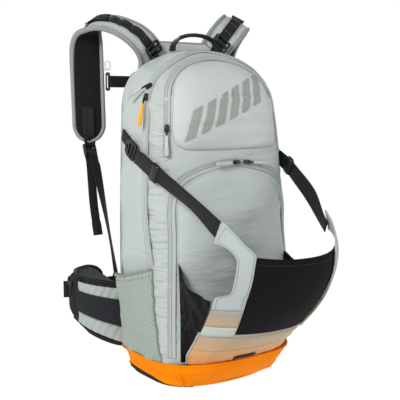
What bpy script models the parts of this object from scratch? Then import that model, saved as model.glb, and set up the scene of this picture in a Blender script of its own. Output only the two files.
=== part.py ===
"""Ski backpack with a front helmet carrier, standing on its base.

Units are metres. +Z is up, the front of the pack faces -Y and the wearer stands on the +Y side.
The origin lies on the base's flat underside. Left and right are -X and +X.
"""

import math

import bmesh
import bpy
from mathutils import Matrix, Vector

# ---------------------------------------------------------------- driving dimensions

HEIGHT = 0.550  # top of the bag
SHOULDER_Z = 0.450  # above this the bag closes into its domed top
DOME_POWER = 2.2
DOME_HALF_WIDTH = 0.127
DOME_HALF_DEPTH = 0.070
DOME_LEAN = 0.020  # how far the dome's middle moves back towards the wearer
FRONT_SQUARENESS = 3.6  # superellipse power of the front corners
BACK_SQUARENESS = 8.0

BOOT_TOP = 0.0495
SHELL_BOTTOM = 0.0510
BASE_PAD_THICK = 0.0030
SKIN = 0.0025  # fabric and its foam lining
BACK_CUT_Y = 0.062  # the bag's shell is open here, and the back panel closes it

# height, half width, front y, back y of the bag below the dome
BODY = (
    (0.050, 0.131, -0.096, 0.068),
    (0.150, 0.133, -0.100, 0.070),
    (0.250, 0.133, -0.096, 0.070),
    (0.340, 0.131, -0.085, 0.070),
    (0.400, 0.129, -0.077, 0.070),
    (0.450, 0.127, -0.070, 0.070),
)
# the same for the boot that wraps the bottom
BOOT = (
    (0.0035, 0.106, -0.076, 0.065),
    (0.009, 0.116, -0.090, 0.067),
    (0.022, 0.125, -0.105, 0.068),
    (0.038, 0.130, -0.116, 0.068),
    (BOOT_TOP, 0.131, -0.121, 0.068),
)
BOOT_SQUARENESS = 2.8

# helmet carrier: height, half width, depth of its bulge in front of FLAP_ROOT_Y
FLAP = (
    (0.052, 0.098, 0.030),
    (0.080, 0.103, 0.068),
    (0.108, 0.110, 0.102),
    (0.155, 0.128, 0.145),
    (0.200, 0.138, 0.168),
    (0.235, 0.138, 0.176),
    (0.265, 0.128, 0.175),
    (0.300, 0.113, 0.167),
)
# height, how far round the carrier's lower part reaches, in degrees
FLAP_EDGE = (
    (0.052, 88.0),
    (0.080, 77.0),
    (0.104, 69.5),
    (0.127, 63.5),
    (0.158, 58.0),
    (0.176, 56.5),
)
FLAP_ROOT_Y = -0.092
FLAP_SQUARENESS = 2.2
FLAP_THICK = 0.003
FLAP_HINGE = Vector((0, -0.121, 0.0505))

ZIP_WIDTH = 0.014
ZIP_THICK = 0.0014
ZIP_LIFT = 0.0022  # middle of the tape above the bag
SLIDER_SIZE = Vector((0.008, 0.012, 0.0045))
SLIDER_LIFT = ZIP_LIFT + ZIP_THICK / 2 + 0.0004 + SLIDER_SIZE.z / 2

PAD_WIDTH = 0.058
PAD_THICK = 0.012
WEBBING = 0.020
WEBBING_THICK = 0.0016

BELT_CENTRE_Y = 0.150
BELT_HALF_WIDTH = 0.170
BELT_HALF_DEPTH = 0.080
BELT_ROOT_TURN = -122.0  # where a wing starts on the belt's oval, in degrees
BELT_SWEEP = 120.0
BELT_THICK = 0.010

GREY = (0.62, 0.66, 0.64, 1)
BLACK = (0.02, 0.02, 0.022, 1)
CHARCOAL = (0.06, 0.065, 0.07, 1)
ORANGE = (0.90, 0.32, 0.02, 1)
YELLOW = (0.95, 0.52, 0.01, 1)


# ---------------------------------------------------------------- scene and materials


def clear_scene():
    for obj in list(bpy.data.objects):
        bpy.data.objects.remove(obj)
    made = []
    for name in ("ski_backpack", "cutters"):
        collection = bpy.data.collections.new(name)
        bpy.context.scene.collection.children.link(collection)
        made.append(collection)
    return made


PARTS, CUTTERS = clear_scene()


def material(name, colour, roughness, metallic=0.0):
    made = bpy.data.materials.new(name)
    made.use_nodes = True
    shader = made.node_tree.nodes["Principled BSDF"]
    shader.inputs["Base Color"].default_value = colour
    shader.inputs["Roughness"].default_value = roughness
    shader.inputs["Metallic"].default_value = metallic
    return made


SHELL_FABRIC = material("shell_fabric", GREY, 0.8)
BLACK_FABRIC = material("black_fabric", BLACK, 0.9)
BOOT_FABRIC = material("boot_fabric", ORANGE, 0.6)
MESH_FABRIC = material("mesh_fabric", CHARCOAL, 0.95)
BLACK_PLASTIC = material("black_plastic", BLACK, 0.4)
PULL_GREY = material("pull_grey", (0.75, 0.75, 0.77, 1), 0.6)
PULL_ORANGE = material("pull_orange", YELLOW, 0.5)
FOAM = material("foam", (0.3, 0.3, 0.32, 1), 0.9)


# ---------------------------------------------------------------- shape functions


def between(stations, at):
    """The values of a table of (position, value, ...) rows at a position, on a smooth curve."""
    last = len(stations) - 1
    k = max(0, min(last - 1, sum(1 for s in stations if s[0] <= at) - 1))
    a, b = stations[k], stations[k + 1]
    before, after = stations[max(0, k - 1)], stations[min(last, k + 2)]
    span = b[0] - a[0]
    t = min(1.0, max(0.0, (at - a[0]) / span))
    found = []
    for i in range(1, len(a)):
        slope_a = (b[i] - before[i]) / (b[0] - before[0]) * span
        slope_b = (after[i] - a[i]) / (after[0] - a[0]) * span
        found.append(
            (2 * t**3 - 3 * t**2 + 1) * a[i]
            + (t**3 - 2 * t**2 + t) * slope_a
            + (3 * t**2 - 2 * t**3) * b[i]
            + (t**3 - t**2) * slope_b
        )
    return found


def body_section(z):
    """Half width, middle y and half depth of the bag at a height."""
    if z <= SHOULDER_Z:
        half_width, front, back = between(BODY, z)
        return half_width, (front + back) / 2, (back - front) / 2
    share = min(0.9999, (z - SHOULDER_Z) / (HEIGHT - SHOULDER_Z))
    close = (1 - share**DOME_POWER) ** (1 / DOME_POWER)
    return DOME_HALF_WIDTH * close, DOME_LEAN * share, DOME_HALF_DEPTH * close**0.9


def rounded(value, power):
    return math.copysign(abs(value) ** (2 / power), value)


def ring_point(section, turn, front_power, back_power, z):
    """A point of a section, turned in degrees from the front middle towards +X."""
    half_width, middle, half_depth = section
    s, c = math.sin(math.radians(turn)), math.cos(math.radians(turn))
    power = front_power if c >= 0 else back_power
    return Vector((half_width * rounded(s, power), middle - half_depth * rounded(c, power), z))


def body_ring(turn, z):
    return ring_point(body_section(z), turn, FRONT_SQUARENESS, BACK_SQUARENESS, z)


def body_level(p):
    """Below 1 inside the bag, above 1 outside it."""
    half_width, middle, half_depth = body_section(p.z)
    power = FRONT_SQUARENESS if p.y < middle else BACK_SQUARENESS
    return abs(p.x / half_width) ** power + abs((p.y - middle) / half_depth) ** power


def body_normal(p):
    step = 0.0004
    axes = (Vector((step, 0, 0)), Vector((0, step, 0)), Vector((0, 0, step)))
    return Vector([body_level(p + a) - body_level(p - a) for a in axes]).normalized()


def lifted(p, lift):
    return p + body_normal(p) * lift


def front_point(x, z, lift=0.0):
    """The point of the bag's front at x and z, raised off it."""
    half_width, middle, half_depth = body_section(z)
    inside = max(0.0, 1 - abs(x / half_width) ** FRONT_SQUARENESS)
    y = middle - half_depth * inside ** (1 / FRONT_SQUARENESS)
    return lifted(Vector((x, y, z)), lift)


def side_point(side, y, z, lift=0.0):
    """The point of the bag's left (-1) or right (1) side at y and z, raised off it."""
    half_width, middle, half_depth = body_section(z)
    power = FRONT_SQUARENESS if y < middle else BACK_SQUARENESS
    inside = max(0.0, 1 - abs((y - middle) / half_depth) ** power)
    return lifted(Vector((side * half_width * inside ** (1 / power), y, z)), lift)


def top_point(x, y, lift=0.0):
    """The point of the bag's dome above x and y, raised off it."""
    low, high = SHOULDER_Z, HEIGHT
    for _ in range(30):
        middle = (low + high) / 2
        if body_level(Vector((x, y, middle))) < 1:
            low = middle
        else:
            high = middle
    return lifted(Vector((x, y, low)), lift)


def flap_point(turn, z, lift=0.0):
    """A point of the helmet carrier, turned in degrees from its front middle towards +X."""
    half_width, depth = between(FLAP, z)
    s, c = math.sin(math.radians(turn)), math.cos(math.radians(turn))
    x, y = half_width * rounded(s, FLAP_SQUARENESS), depth * rounded(c, FLAP_SQUARENESS)
    out = Vector((x / half_width**2, -y / depth**2, 0)).normalized()
    return Vector((x, FLAP_ROOT_Y - y, z)) + out * lift


# ---------------------------------------------------------------- builders


def new_object(name, mesh, mat, collection=PARTS):
    obj = bpy.data.objects.new(name, mesh)
    collection.objects.link(obj)
    if mat:
        mesh.materials.append(mat)
    return obj


def mesh_from(name, bm):
    mesh = bpy.data.meshes.new(name)
    bm.to_mesh(mesh)
    bm.free()
    return mesh


def thicken(obj, thickness, offset=0.0):
    solidify = obj.modifiers.new("thickness", "SOLIDIFY")
    solidify.thickness = thickness
    solidify.offset = offset
    solidify.use_even_offset = True
    return obj


def sheet(name, rows, thickness, mat, offset=0.0):
    """A sheet through rows of points, each row as long as the next, given a thickness."""
    bm = bmesh.new()
    grid = [[bm.verts.new(p) for p in row] for row in rows]
    for a, b in zip(grid, grid[1:]):
        for i in range(len(a) - 1):
            bm.faces.new((a[i], a[i + 1], b[i + 1], b[i]))
    return thicken(new_object(name, mesh_from(name, bm), mat), thickness, offset)


def smooth_path(points, count):
    """Count points along a smooth curve through the given ones."""
    table = [(float(i), *p) for i, p in enumerate(points)]
    last = len(points) - 1
    return [Vector(between(table, last * k / (count - 1))) for k in range(count)]


def band(name, path, sides, width, thickness, mat):
    """A flat strap along a path. Sides are the directions of its width, one for each point."""
    rows = []
    for i, p in enumerate(path):
        along = (path[min(i + 1, len(path) - 1)] - path[max(i - 1, 0)]).normalized()
        across = (sides[i] - along * sides[i].dot(along)).normalized()
        rows.append([p - across * width / 2, p + across * width / 2])
    return sheet(name, rows, thickness, mat)


def strap(name, points, sides, width, thickness, mat, count):
    return band(name, smooth_path(points, count), smooth_path(sides, count), width, thickness, mat)


def plate(name, outline, thickness, frame, mat):
    """A flat plate with this outline in its frame's XY plane, centred on that plane."""
    bm = bmesh.new()
    bm.faces.new([bm.verts.new((x, y, 0)) for x, y in outline])
    obj = thicken(new_object(name, mesh_from(name, bm), mat), thickness)
    obj.matrix_world = frame
    return obj


def block(name, size, frame, mat, bevel=0.0, collection=PARTS):
    bm = bmesh.new()
    bmesh.ops.create_cube(bm, size=1.0, matrix=Matrix.Diagonal((*size, 1)))
    obj = new_object(name, mesh_from(name, bm), mat, collection)
    obj.matrix_world = frame
    if bevel:
        edge = obj.modifiers.new("rounded", "BEVEL")
        edge.width = bevel
        edge.segments = 2
        edge.limit_method = "NONE"
    return obj


def cut(obj, size, frame):
    """Cuts a box out of an object."""
    name = f"{obj.name}_cutter_{len(obj.modifiers)}"
    cutter = block(name, size, frame, None, collection=CUTTERS)
    cutter.hide_render = True
    cutter.display_type = "WIRE"
    boolean = obj.modifiers.new("cut", "BOOLEAN")
    boolean.object = cutter
    boolean.operation = "DIFFERENCE"


def frame_at(origin, along, out):
    """A frame whose Y runs along a direction and whose Z points out of a surface."""
    z = (out - along * out.dot(along) / along.length_squared).normalized()
    y = along.normalized()
    x = y.cross(z)
    return Matrix.Translation(origin) @ Matrix((x, y, z)).transposed().to_4x4()


def moved(frame, x=0.0, y=0.0, z=0.0):
    return frame @ Matrix.Translation((x, y, z))


def loft(name, rings, cap_bottom, cap_top):
    """A closed tube through rings of points, with a flat bottom and a pointed top if asked."""
    bm = bmesh.new()
    made = [[bm.verts.new(p) for p in ring] for ring in rings]
    count = len(rings[0])
    for a, b in zip(made, made[1:]):
        for i in range(count):
            j = (i + 1) % count
            bm.faces.new((a[i], a[j], b[j], b[i]))
    if cap_bottom:
        bm.faces.new(list(reversed(made[0])))
    if cap_top:
        tip = bm.verts.new(cap_top)
        for i in range(count):
            bm.faces.new((made[-1][i], made[-1][(i + 1) % count], tip))
    return bm


# ---------------------------------------------------------------- bag


RING_COUNT = 32
TURNS = [360 * k / RING_COUNT for k in range(RING_COUNT)]


def make_main_shell():
    """The bag's front, sides and top, open at the back where the back panel closes it."""
    heights = [SHELL_BOTTOM, 0.100, 0.160, 0.220, 0.280, 0.340, 0.400, SHOULDER_Z]
    rise = HEIGHT - SHOULDER_Z
    heights += [SHOULDER_Z + rise * math.sin(math.radians(a)) for a in (17, 33, 47, 60, 72, 82)]
    rings = [[body_ring(t, z) for t in TURNS] for z in heights]
    bm = loft("main_shell", rings, False, Vector((0, DOME_LEAN, HEIGHT)))
    geometry = bm.verts[:] + bm.edges[:] + bm.faces[:]
    bmesh.ops.bisect_plane(
        bm, geom=geometry, plane_co=(0, BACK_CUT_Y, 0), plane_no=(0, 1, 0), clear_outer=True
    )
    mesh = mesh_from("main_shell", bm)
    thicken(new_object("main_shell", mesh, SHELL_FABRIC), SKIN, -1.0)


def boot_ring(z, inset=0.0):
    half_width, front, back = between(BOOT, z)
    section = (half_width - inset, (front + back) / 2, (back - front) / 2 - inset)
    return [ring_point(section, t, BOOT_SQUARENESS, BACK_SQUARENESS * 0.6, z) for t in TURNS]


def make_base():
    """The coloured boot that wraps the bottom and the black pad under it."""
    rings = [boot_ring(z) for z in (0.0035, 0.009, 0.022, 0.038, BOOT_TOP)]
    mesh = mesh_from("base_boot", loft("base_boot", rings, True, None))
    thicken(new_object("base_boot", mesh, BOOT_FABRIC), SKIN, -1.0)
    pad = [(p.x, p.y) for p in boot_ring(0.0035, 0.004)]
    plate("base_pad", pad, BASE_PAD_THICK, Matrix.Translation((0, 0, BASE_PAD_THICK / 2)), BLACK_FABRIC)


UPRIGHT = Matrix(((1, 0, 0), (0, 0, -1), (0, 1, 0))).to_4x4()  # local XY stands in world XZ


def upright(y):
    return Matrix.Translation((0, y, 0)) @ UPRIGHT


def bag_outline(low, high, share, count=10):
    """The bag's outline from the front, between two heights, as a share of its width."""
    heights = [low + (high - low) * math.sin(math.radians(90 * k / count)) for k in range(count + 1)]
    right = [(share * body_section(z)[0], z) for z in heights]
    return right + [(-x, z) for x, z in reversed(right)]


def make_back():
    """Back panel, the foam on it, the protector plate behind it and the yoke of the straps."""
    plate("back_panel", bag_outline(0.054, 0.512, 0.92), 0.006, upright(0.0668), MESH_FABRIC)
    plate("back_protector", bag_outline(0.085, 0.490, 0.80), 0.008, upright(0.0545), FOAM)
    for side, name in ((-1, "left"), (1, "right")):
        frame = Matrix.Translation((side * 0.052, 0.0785, 0.300))
        block(f"back_pad_{name}", (0.072, 0.014, 0.270), frame, MESH_FABRIC, 0.0055)
    frame = Matrix.Translation((0, 0.0795, 0.108))
    block("lumbar_pad", (0.168, 0.016, 0.092), frame, MESH_FABRIC, 0.0065)
    wide, neck, low, high, top = 0.098, 0.021, 0.437, 0.466, 0.564
    yoke = [(wide, low), (wide, high), (neck, high + 0.004), (neck, top)]
    yoke += [(-x, z) for x, z in reversed(yoke)]
    plate("shoulder_yoke", yoke, 0.006, upright(0.0745), SHELL_FABRIC)


def make_inside():
    """The wall between the main compartment and the front one."""
    plate("compartment_divider", bag_outline(0.060, 0.380, 0.86), 0.002, upright(-0.0480), BLACK_FABRIC)


# ---------------------------------------------------------------- side pockets


POCKET_BACK_Y = 0.058
POCKET_BULGE = 0.016


def pocket_point(side, across, up):
    """Across runs from the back edge to the front edge, up from the boot to the opening."""
    front_y = -0.064 + 0.018 * up
    y = POCKET_BACK_Y + (front_y - POCKET_BACK_Y) * across
    top = 0.166 + 0.030 * across**1.5
    z = 0.053 + (top - 0.053) * up
    bulge = 0.0027 + POCKET_BULGE * math.sin(math.pi * across) ** 0.7 * up**0.8
    return side_point(side, y, z, bulge)


def make_pocket(side, name):
    rows = [[pocket_point(side, a / 7, u / 4) for a in range(8)] for u in range(5)]
    sheet(f"side_pocket_{name}", rows, 0.0015, SHELL_FABRIC)


# ---------------------------------------------------------------- zips


def mirrored(points):
    """Points that end on the middle plane, followed by their mirror images."""
    return points + [(-x, z) for x, z in reversed(points[:-1])]


# y and height of the main zip up a side, then x and y of it over the top
MAIN_ZIP_SIDE = (
    (-0.0430, 0.205),
    (-0.0380, 0.250),
    (-0.0325, 0.300),
    (-0.0290, 0.350),
    (-0.0275, 0.400),
    (-0.0255, 0.440),
    (-0.0245, 0.465),
    (-0.0235, 0.485),
    (-0.0225, 0.502),
)
MAIN_ZIP_TOP = ((0.089, -0.0215), (0.077, -0.0200), (0.062, -0.0175), (0.045, -0.0125), (0.025, -0.0060))
POCKET_ZIP = mirrored(
    [(-0.1140, 0.379), (-0.1115, 0.409), (-0.1090, 0.435), (-0.1045, 0.4725), (-0.0975, 0.4915)]
    + [(-0.0795, 0.5125), (-0.0540, 0.5265), (-0.0190, 0.5345), (0.0, 0.5355)]
)
FRONT_ZIP = mirrored(
    [(-0.1145, 0.060), (-0.1160, 0.122), (-0.1160, 0.187), (-0.1140, 0.250), (-0.1133, 0.289)]
    + [(-0.1104, 0.312), (-0.1024, 0.334), (-0.0839, 0.349), (-0.0533, 0.359), (-0.0200, 0.3655), (0.0, 0.367)]
)


def main_zip_path():
    """Up the left side, over the top and down the right side."""
    left = [side_point(-1, y, z, ZIP_LIFT) for y, z in MAIN_ZIP_SIDE]
    left += [top_point(-x, y, ZIP_LIFT) for x, y in MAIN_ZIP_TOP]
    right = [Vector((-p.x, p.y, p.z)) for p in reversed(left)]
    return left + [top_point(0, 0, ZIP_LIFT)] + right


def make_track(name, path):
    outs = [body_normal(p) for p in path]
    sides = []
    for i, out in enumerate(outs):
        along = path[min(i + 1, len(path) - 1)] - path[max(i - 1, 0)]
        sides.append(along.cross(out))
    band(name, path, sides, ZIP_WIDTH, ZIP_THICK, SHELL_FABRIC)


def make_slider(name, origin, along, pull_length, pull_mat):
    """A slider with its puller lying along the track. Origin is on the bag's surface."""
    out = body_normal(origin)
    frame = frame_at(origin + out * SLIDER_LIFT, along - out * along.dot(out), out)
    block(f"{name}_slider", SLIDER_SIZE, frame, BLACK_PLASTIC, 0.0008)
    half, root, tip = SLIDER_SIZE.y / 2, 0.0016, 0.0030
    start = half + 0.0020
    outline = [(-root, start), (root, start), (tip, start + pull_length * 0.6), (tip, start + pull_length)]
    outline += [(-tip, start + pull_length), (-tip, start + pull_length * 0.6)]
    plate(f"{name}_puller", outline, 0.0022, moved(frame, z=0.0018), pull_mat)


def make_zips():
    make_track("main_zip", main_zip_path())
    make_track("pocket_zip", [front_point(x, z, ZIP_LIFT) for x, z in POCKET_ZIP])
    make_track("front_zip", [front_point(x, z, ZIP_LIFT) for x, z in FRONT_ZIP])
    down = Vector((0, 0, -1))
    make_slider("main_zip_lower", side_point(-1, -0.0243, 0.4715), down, 0.040, PULL_ORANGE)
    make_slider("main_zip_upper", side_point(-1, -0.0232, 0.4880), Vector((0, 0.8, -0.6)), 0.034, PULL_GREY)
    make_slider("pocket_zip", front_point(-0.1100, 0.4235), down, 0.036, PULL_GREY)
    make_slider("front_zip_left", front_point(0.0070, 0.3668), Vector((-1, 0, -0.04)), 0.036, PULL_GREY)
    make_slider("front_zip_right", front_point(0.0270, 0.3665), Vector((1, 0, -0.10)), 0.036, PULL_GREY)


# ---------------------------------------------------------------- helmet carrier


FLAP_STRAP = ((0.1390, -0.0108, 0.3797), (0.1390, -0.057, 0.3605), (0.1350, -0.090, 0.3440), (0.124, -0.143, 0.3180))


def flap_edge(z):
    """How far round the lower panel reaches at a height, in degrees."""
    return between(FLAP_EDGE, z)[0]


def make_lower_panel():
    rows = []
    for k in range(5):
        z = 0.0525 + (0.1100 - 0.0525) * k / 4
        edge = flap_edge(z)
        rows.append([flap_point(-edge + 2 * edge * i / 14, z) for i in range(15)])
    sheet("flap_lower_panel", rows, FLAP_THICK, SHELL_FABRIC)


STRETCH_EDGE = 33.0


def make_stretch_panel():
    """The dark elastic front of the carrier, its top edge dipping in the middle."""
    rows = []
    for k in range(6):
        row = []
        for i in range(9):
            turn = STRETCH_EDGE * (i - 4) / 4
            top = 0.2375 + 0.005 * (turn / STRETCH_EDGE) ** 2
            row.append(flap_point(turn, 0.1115 + (top - 0.1115) * k / 5))
        rows.append(row)
    sheet("flap_stretch_panel", rows, FLAP_THICK, BLACK_FABRIC)


# outer turn and height, inner turn and height, from the foot of an arm to its tip
ARM = (
    (66.0, 0.1115, 34.5, 0.1115),
    (60.5, 0.1340, 34.5, 0.1340),
    (56.5, 0.1580, 34.5, 0.1580),
    (55.0, 0.1760, 34.5, 0.1760),
    (46.5, 0.1840, 34.5, 0.1840),
    (44.0, 0.2000, 34.5, 0.2000),
    (43.0, 0.2280, 34.0, 0.2340),
    (45.6, 0.2435, 36.0, 0.2500),
    (53.0, 0.2560, 44.0, 0.2680),
    (57.5, 0.2660, 55.5, 0.2880),
)


def make_arm(side, name):
    rows = []
    for outer, low, inner, high in ARM:
        steps = [(outer + (inner - outer) * k / 3, low + (high - low) * k / 3) for k in range(4)]
        rows.append([flap_point(side * turn, z) for turn, z in steps])
    sheet(f"flap_arm_{name}", rows, FLAP_THICK, SHELL_FABRIC)


def make_gusset(side, name):
    """The side wall between the bag and the carrier's edge."""
    rows = []
    for k in range(7):
        share = k / 6
        root = front_point(side * (0.1030 + 0.0025 * share), 0.058 + 0.152 * share, 0.0030)
        z = 0.058 + 0.112 * share
        rim = flap_point(side * flap_edge(z), z)
        row = []
        for i in range(5):
            t = 0.93 * i / 4
            bulge = Vector((side * 0.010 * math.sin(math.pi * t) * share, 0, 0))
            row.append(root.lerp(rim, t) + bulge)
        rows.append(row)
    sheet(f"carrier_gusset_{name}", rows, 0.0012, BLACK_FABRIC)


def flap_strap_points(side):
    """From the hook along the bag's side, round its corner and out to the arm's tip."""
    points = [Vector((side * x, y, z)) for x, y, z in FLAP_STRAP]
    return points + [flap_point(side * 61.5, 0.2790, 0.0015)]


def make_flap_strap(side, name):
    points = flap_strap_points(side)
    sides = [Vector((0, -0.3, 0.9)), Vector((0, -0.3, 0.9)), Vector((side * 0.2, -0.3, 0.9))]
    sides += [Vector((side * 0.3, -0.2, 0.9)), Vector((side * 0.1, -0.5, 0.85))]
    strap(f"carrier_strap_{name}", points, sides, 0.025, WEBBING_THICK, BLACK_FABRIC, 11)


def make_hook(side, name):
    """The webbing tab on the bag's side and the open hook buckle that hangs in it."""
    start = side_point(side, 0.046, 0.411, 0.0030)
    end = side_point(side, 0.022, 0.399, 0.0036)
    across = [Vector((0, 0.3, 0.95))] * 3
    band(f"carrier_anchor_{name}", [start, start.lerp(end, 0.5), end], across, 0.022, 0.0020, BLACK_FABRIC)
    along = Vector((0, -0.87, -0.49))
    frame = frame_at(Vector((side * 0.1378, 0.004, 0.3880)), along, Vector((side, 0, 0)))
    hook = block(f"carrier_hook_{name}", (0.030, 0.026, 0.005), frame, BLACK_PLASTIC)
    cut(hook, (0.022, 0.005, 0.02), moved(frame, y=0.0065))
    cut(hook, (0.020, 0.007, 0.02), moved(frame, y=-0.0035))
    cut(hook, (0.006, 0.010, 0.02), moved(frame, x=0.0, y=-0.0100))


# ---------------------------------------------------------------- shoulder straps


PAD_PATH = (
    (0.050, 0.0860, 0.478),
    (0.051, 0.0830, 0.515),
    (0.056, 0.0765, 0.545),
    (0.076, 0.0755, 0.570),
    (0.1015, 0.0850, 0.588),
    (0.1235, 0.1020, 0.5975),
    (0.1380, 0.1210, 0.596),
    (0.1435, 0.1360, 0.581),
    (0.1450, 0.1425, 0.556),
    (0.1445, 0.1430, 0.515),
    (0.1435, 0.1425, 0.470),
    (0.1425, 0.1425, 0.430),
    (0.1420, 0.1435, 0.397),
)
# the direction of the pad's width at each point, towards the middle of the pack
PAD_SIDES = (
    (-0.95, 0.0, 0.20),
    (-0.86, 0.0, 0.45),
    (-0.70, 0.10, 0.70),
    (-0.55, 0.35, 0.72),
    (-0.50, 0.58, 0.60),
    (-0.55, 0.68, 0.48),
    (-0.70, 0.60, 0.35),
    (-0.90, 0.20, 0.20),
    (-0.95, -0.20, 0.08),
    (-0.88, -0.45, 0.0),
    (-0.84, -0.54, 0.0),
    (-0.84, -0.54, 0.0),
    (-0.88, -0.46, 0.0),
)
# the right strap stands a little higher and further out, by this share of RIGHT_LEAN at each point
RIGHT_LEAN = Vector((0.028, 0, 0.017))
LEAN_SHARES = (0.0, 0.40, 0.85, 1.0, 0.95, 0.85, 0.70, 0.50, 0.30, 0.15, 0.05, 0.0, 0.0)


def flipped(points, side):
    return [Vector((side * x, y, z)) for x, y, z in points]


def ladder_lock(name, frame, width):
    """A buckle frame with a slot for the fixed webbing and one for the running webbing."""
    lock = block(name, (width + 0.009, 0.022, 0.005), frame, BLACK_PLASTIC)
    cut(lock, (width + 0.0015, 0.0050, 0.02), moved(frame, y=0.0050))
    cut(lock, (width + 0.0015, 0.0050, 0.02), moved(frame, y=-0.0050))


PAD_STEPS = 240


def pad_line(side, count=PAD_STEPS + 1):
    """The middle line of a shoulder pad and the directions of its width."""
    points = flipped(PAD_PATH, side)
    if side > 0:
        points = [p + RIGHT_LEAN * share for p, share in zip(points, LEAN_SHARES)]
    return smooth_path(points, count), smooth_path(flipped(PAD_SIDES, side), count)


def pad_frame(side, step):
    """On the pad's middle line: Y along it, Z out of its outer face."""
    path, sides = pad_line(side)
    along = (path[step + 3] - path[step - 3]).normalized()
    return frame_at(path[step], along, along.cross(sides[step]) * side)


def step_at_height(side, z):
    """The step of a pad's hanging part that is nearest to a height."""
    path = pad_line(side)[0]
    return min(range(PAD_STEPS // 2, PAD_STEPS - 5), key=lambda k: abs(path[k].z - z))


def make_strap_pad(side, name):
    path, sides = pad_line(side, 25)
    band(f"strap_pad_{name}", path, sides, PAD_WIDTH, PAD_THICK, SHELL_FABRIC)


def make_strap_webbing(side, name):
    """Webbing from the bag up through the ladder lock at the pad's end, and its free tail."""
    along = Vector((-side * 0.05, -0.28, -0.95))
    frame = frame_at(Vector((side * 0.1415, 0.1425, 0.3815)), along, Vector((-side * 0.40, 0.92, 0)))
    ladder_lock(f"strap_buckle_{name}", frame, WEBBING)
    low = Vector((side * 0.1275, 0.0750, 0.1560))
    points = [low, low.lerp(frame @ Vector((0, 0.060, -0.010)), 0.5), frame @ Vector((0, 0.040, -0.0070))]
    bend = ((0.022, -0.0056), (0.0090, -0.0052), (0.0046, -0.0022), (0.0046, 0.0022), (0.0090, 0.0052))
    points += [frame @ Vector((0, y, z)) for y, z in bend]
    points += [frame @ Vector((0, 0.026, 0.0055)), Vector((side * 0.1390, 0.1360, 0.2850))]
    points.append(Vector((side * 0.1370, 0.1210, 0.2190)))
    across = frame.to_3x3().col[0] * side
    sides = [Vector((side, 0, 0)), Vector((side * 0.6, -0.8, 0))] + [across] * 9
    strap(f"strap_webbing_{name}", points, sides, WEBBING, WEBBING_THICK, BLACK_FABRIC, 31)


LIFTER_STEP = 46
LIFTER_LAST_STEP = 106


def make_lifter(side, name):
    """The ladder lock on the pad and the webbing from the bag's top under it and along the pad."""
    on_pad = PAD_THICK / 2 + 0.0026
    frame = pad_frame(side, LIFTER_STEP)
    ladder_lock(f"lifter_buckle_{name}", moved(frame, z=on_pad + 0.0050), WEBBING)
    steps = [pad_frame(side, k) for k in range(LIFTER_STEP - 8, LIFTER_LAST_STEP + 1, 10)]
    path = [steps[0] @ Vector((0, -0.012, on_pad + 0.007))] + [f @ Vector((0, 0, on_pad)) for f in steps]
    sides = [f.to_3x3().col[0] for f in [steps[0]] + steps]
    band(f"lifter_webbing_{name}", path, sides, WEBBING, WEBBING_THICK, BLACK_FABRIC)


# ---------------------------------------------------------------- buckles with two halves


def clip_female(name, tip, toward, width):
    """The socket half of a side release buckle. Tip is the middle of its mouth."""
    length = width * 1.2
    frame = frame_at(tip - toward * length / 2, toward, Vector((0, 1, 0)))
    housing = block(name, (width, length, 0.0085), frame, BLACK_PLASTIC)
    cut(housing, (width - 0.006, length * 0.75, 0.0045), moved(frame, y=length * 0.25))


def clip_male(name, tip, toward, width):
    """The half with two prongs and a guide. Tip is the middle of the prongs' ends."""
    prong, root = width * 0.62, width * 0.62 + 0.008
    half, thin = (width - 0.009) / 2, width * 0.13
    left = [(-half, 0), (-half + thin, 0), (-half + thin, -prong + 0.003)]
    guide = [(-thin * 0.45, -prong + 0.003), (-thin * 0.45, -0.003), (thin * 0.45, -0.003), (thin * 0.45, -prong + 0.003)]
    right = [(-x, y) for x, y in reversed(left)]
    base = [(half, -prong), (width / 2, -prong), (width / 2, -root - 0.006), (-width / 2, -root - 0.006)]
    base += [(-width / 2, -prong), (-half, -prong)]
    frame = frame_at(tip, toward, Vector((0, 1, 0)))
    plate(name, left + guide + right + base, 0.0034, frame, BLACK_PLASTIC)
    return root + 0.006


STERNUM_Z = 0.500
STERNUM_Y = 0.1190
BELT_CLIP_Y = 0.2290
BELT_CLIP_Z = 0.118


def straight_webbing(name, x_from, x_to, y, z, width):
    path = [Vector((x_from + (x_to - x_from) * k / 3, y, z)) for k in range(4)]
    band(name, path, [Vector((0, 0, 1))] * 4, width, WEBBING_THICK, BLACK_FABRIC)


def sternum_frame(side):
    """Just beyond the inner edge of a pad: X across the pad, Y up, Z out of its outer face."""
    frame = pad_frame(side, step_at_height(side, STERNUM_Z))
    across = frame.to_3x3().col[0]
    inward = across if across.x * side < 0 else -across
    centre = frame.translation + inward * (PAD_WIDTH / 2 + 0.0062)
    return frame_at(Vector((centre.x, centre.y, STERNUM_Z)), Vector((0, 0, 1)), frame.to_3x3().col[2])


def make_sternum():
    ends = []
    for side, name in ((-1, "left"), (1, "right")):
        frame = sternum_frame(side)
        block(f"sternum_slider_{name}", (0.0080, 0.0320, 0.0080), frame, BLACK_PLASTIC, 0.0012)
        ends.append(frame.translation.x + side * 0.003)
    width = 0.024
    clip_female("sternum_clip_socket", Vector((-0.0160, STERNUM_Y, STERNUM_Z)), Vector((1, 0, 0)), width)
    straight_webbing("sternum_webbing_left", -0.0455, ends[0], STERNUM_Y, STERNUM_Z, WEBBING)
    back = clip_male("sternum_clip_prongs", Vector((0.0, STERNUM_Y, STERNUM_Z)), Vector((-1, 0, 0)), width)
    straight_webbing("sternum_webbing_right", back + 0.0006, ends[1], STERNUM_Y, STERNUM_Z, WEBBING)


# ---------------------------------------------------------------- hip belt


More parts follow.
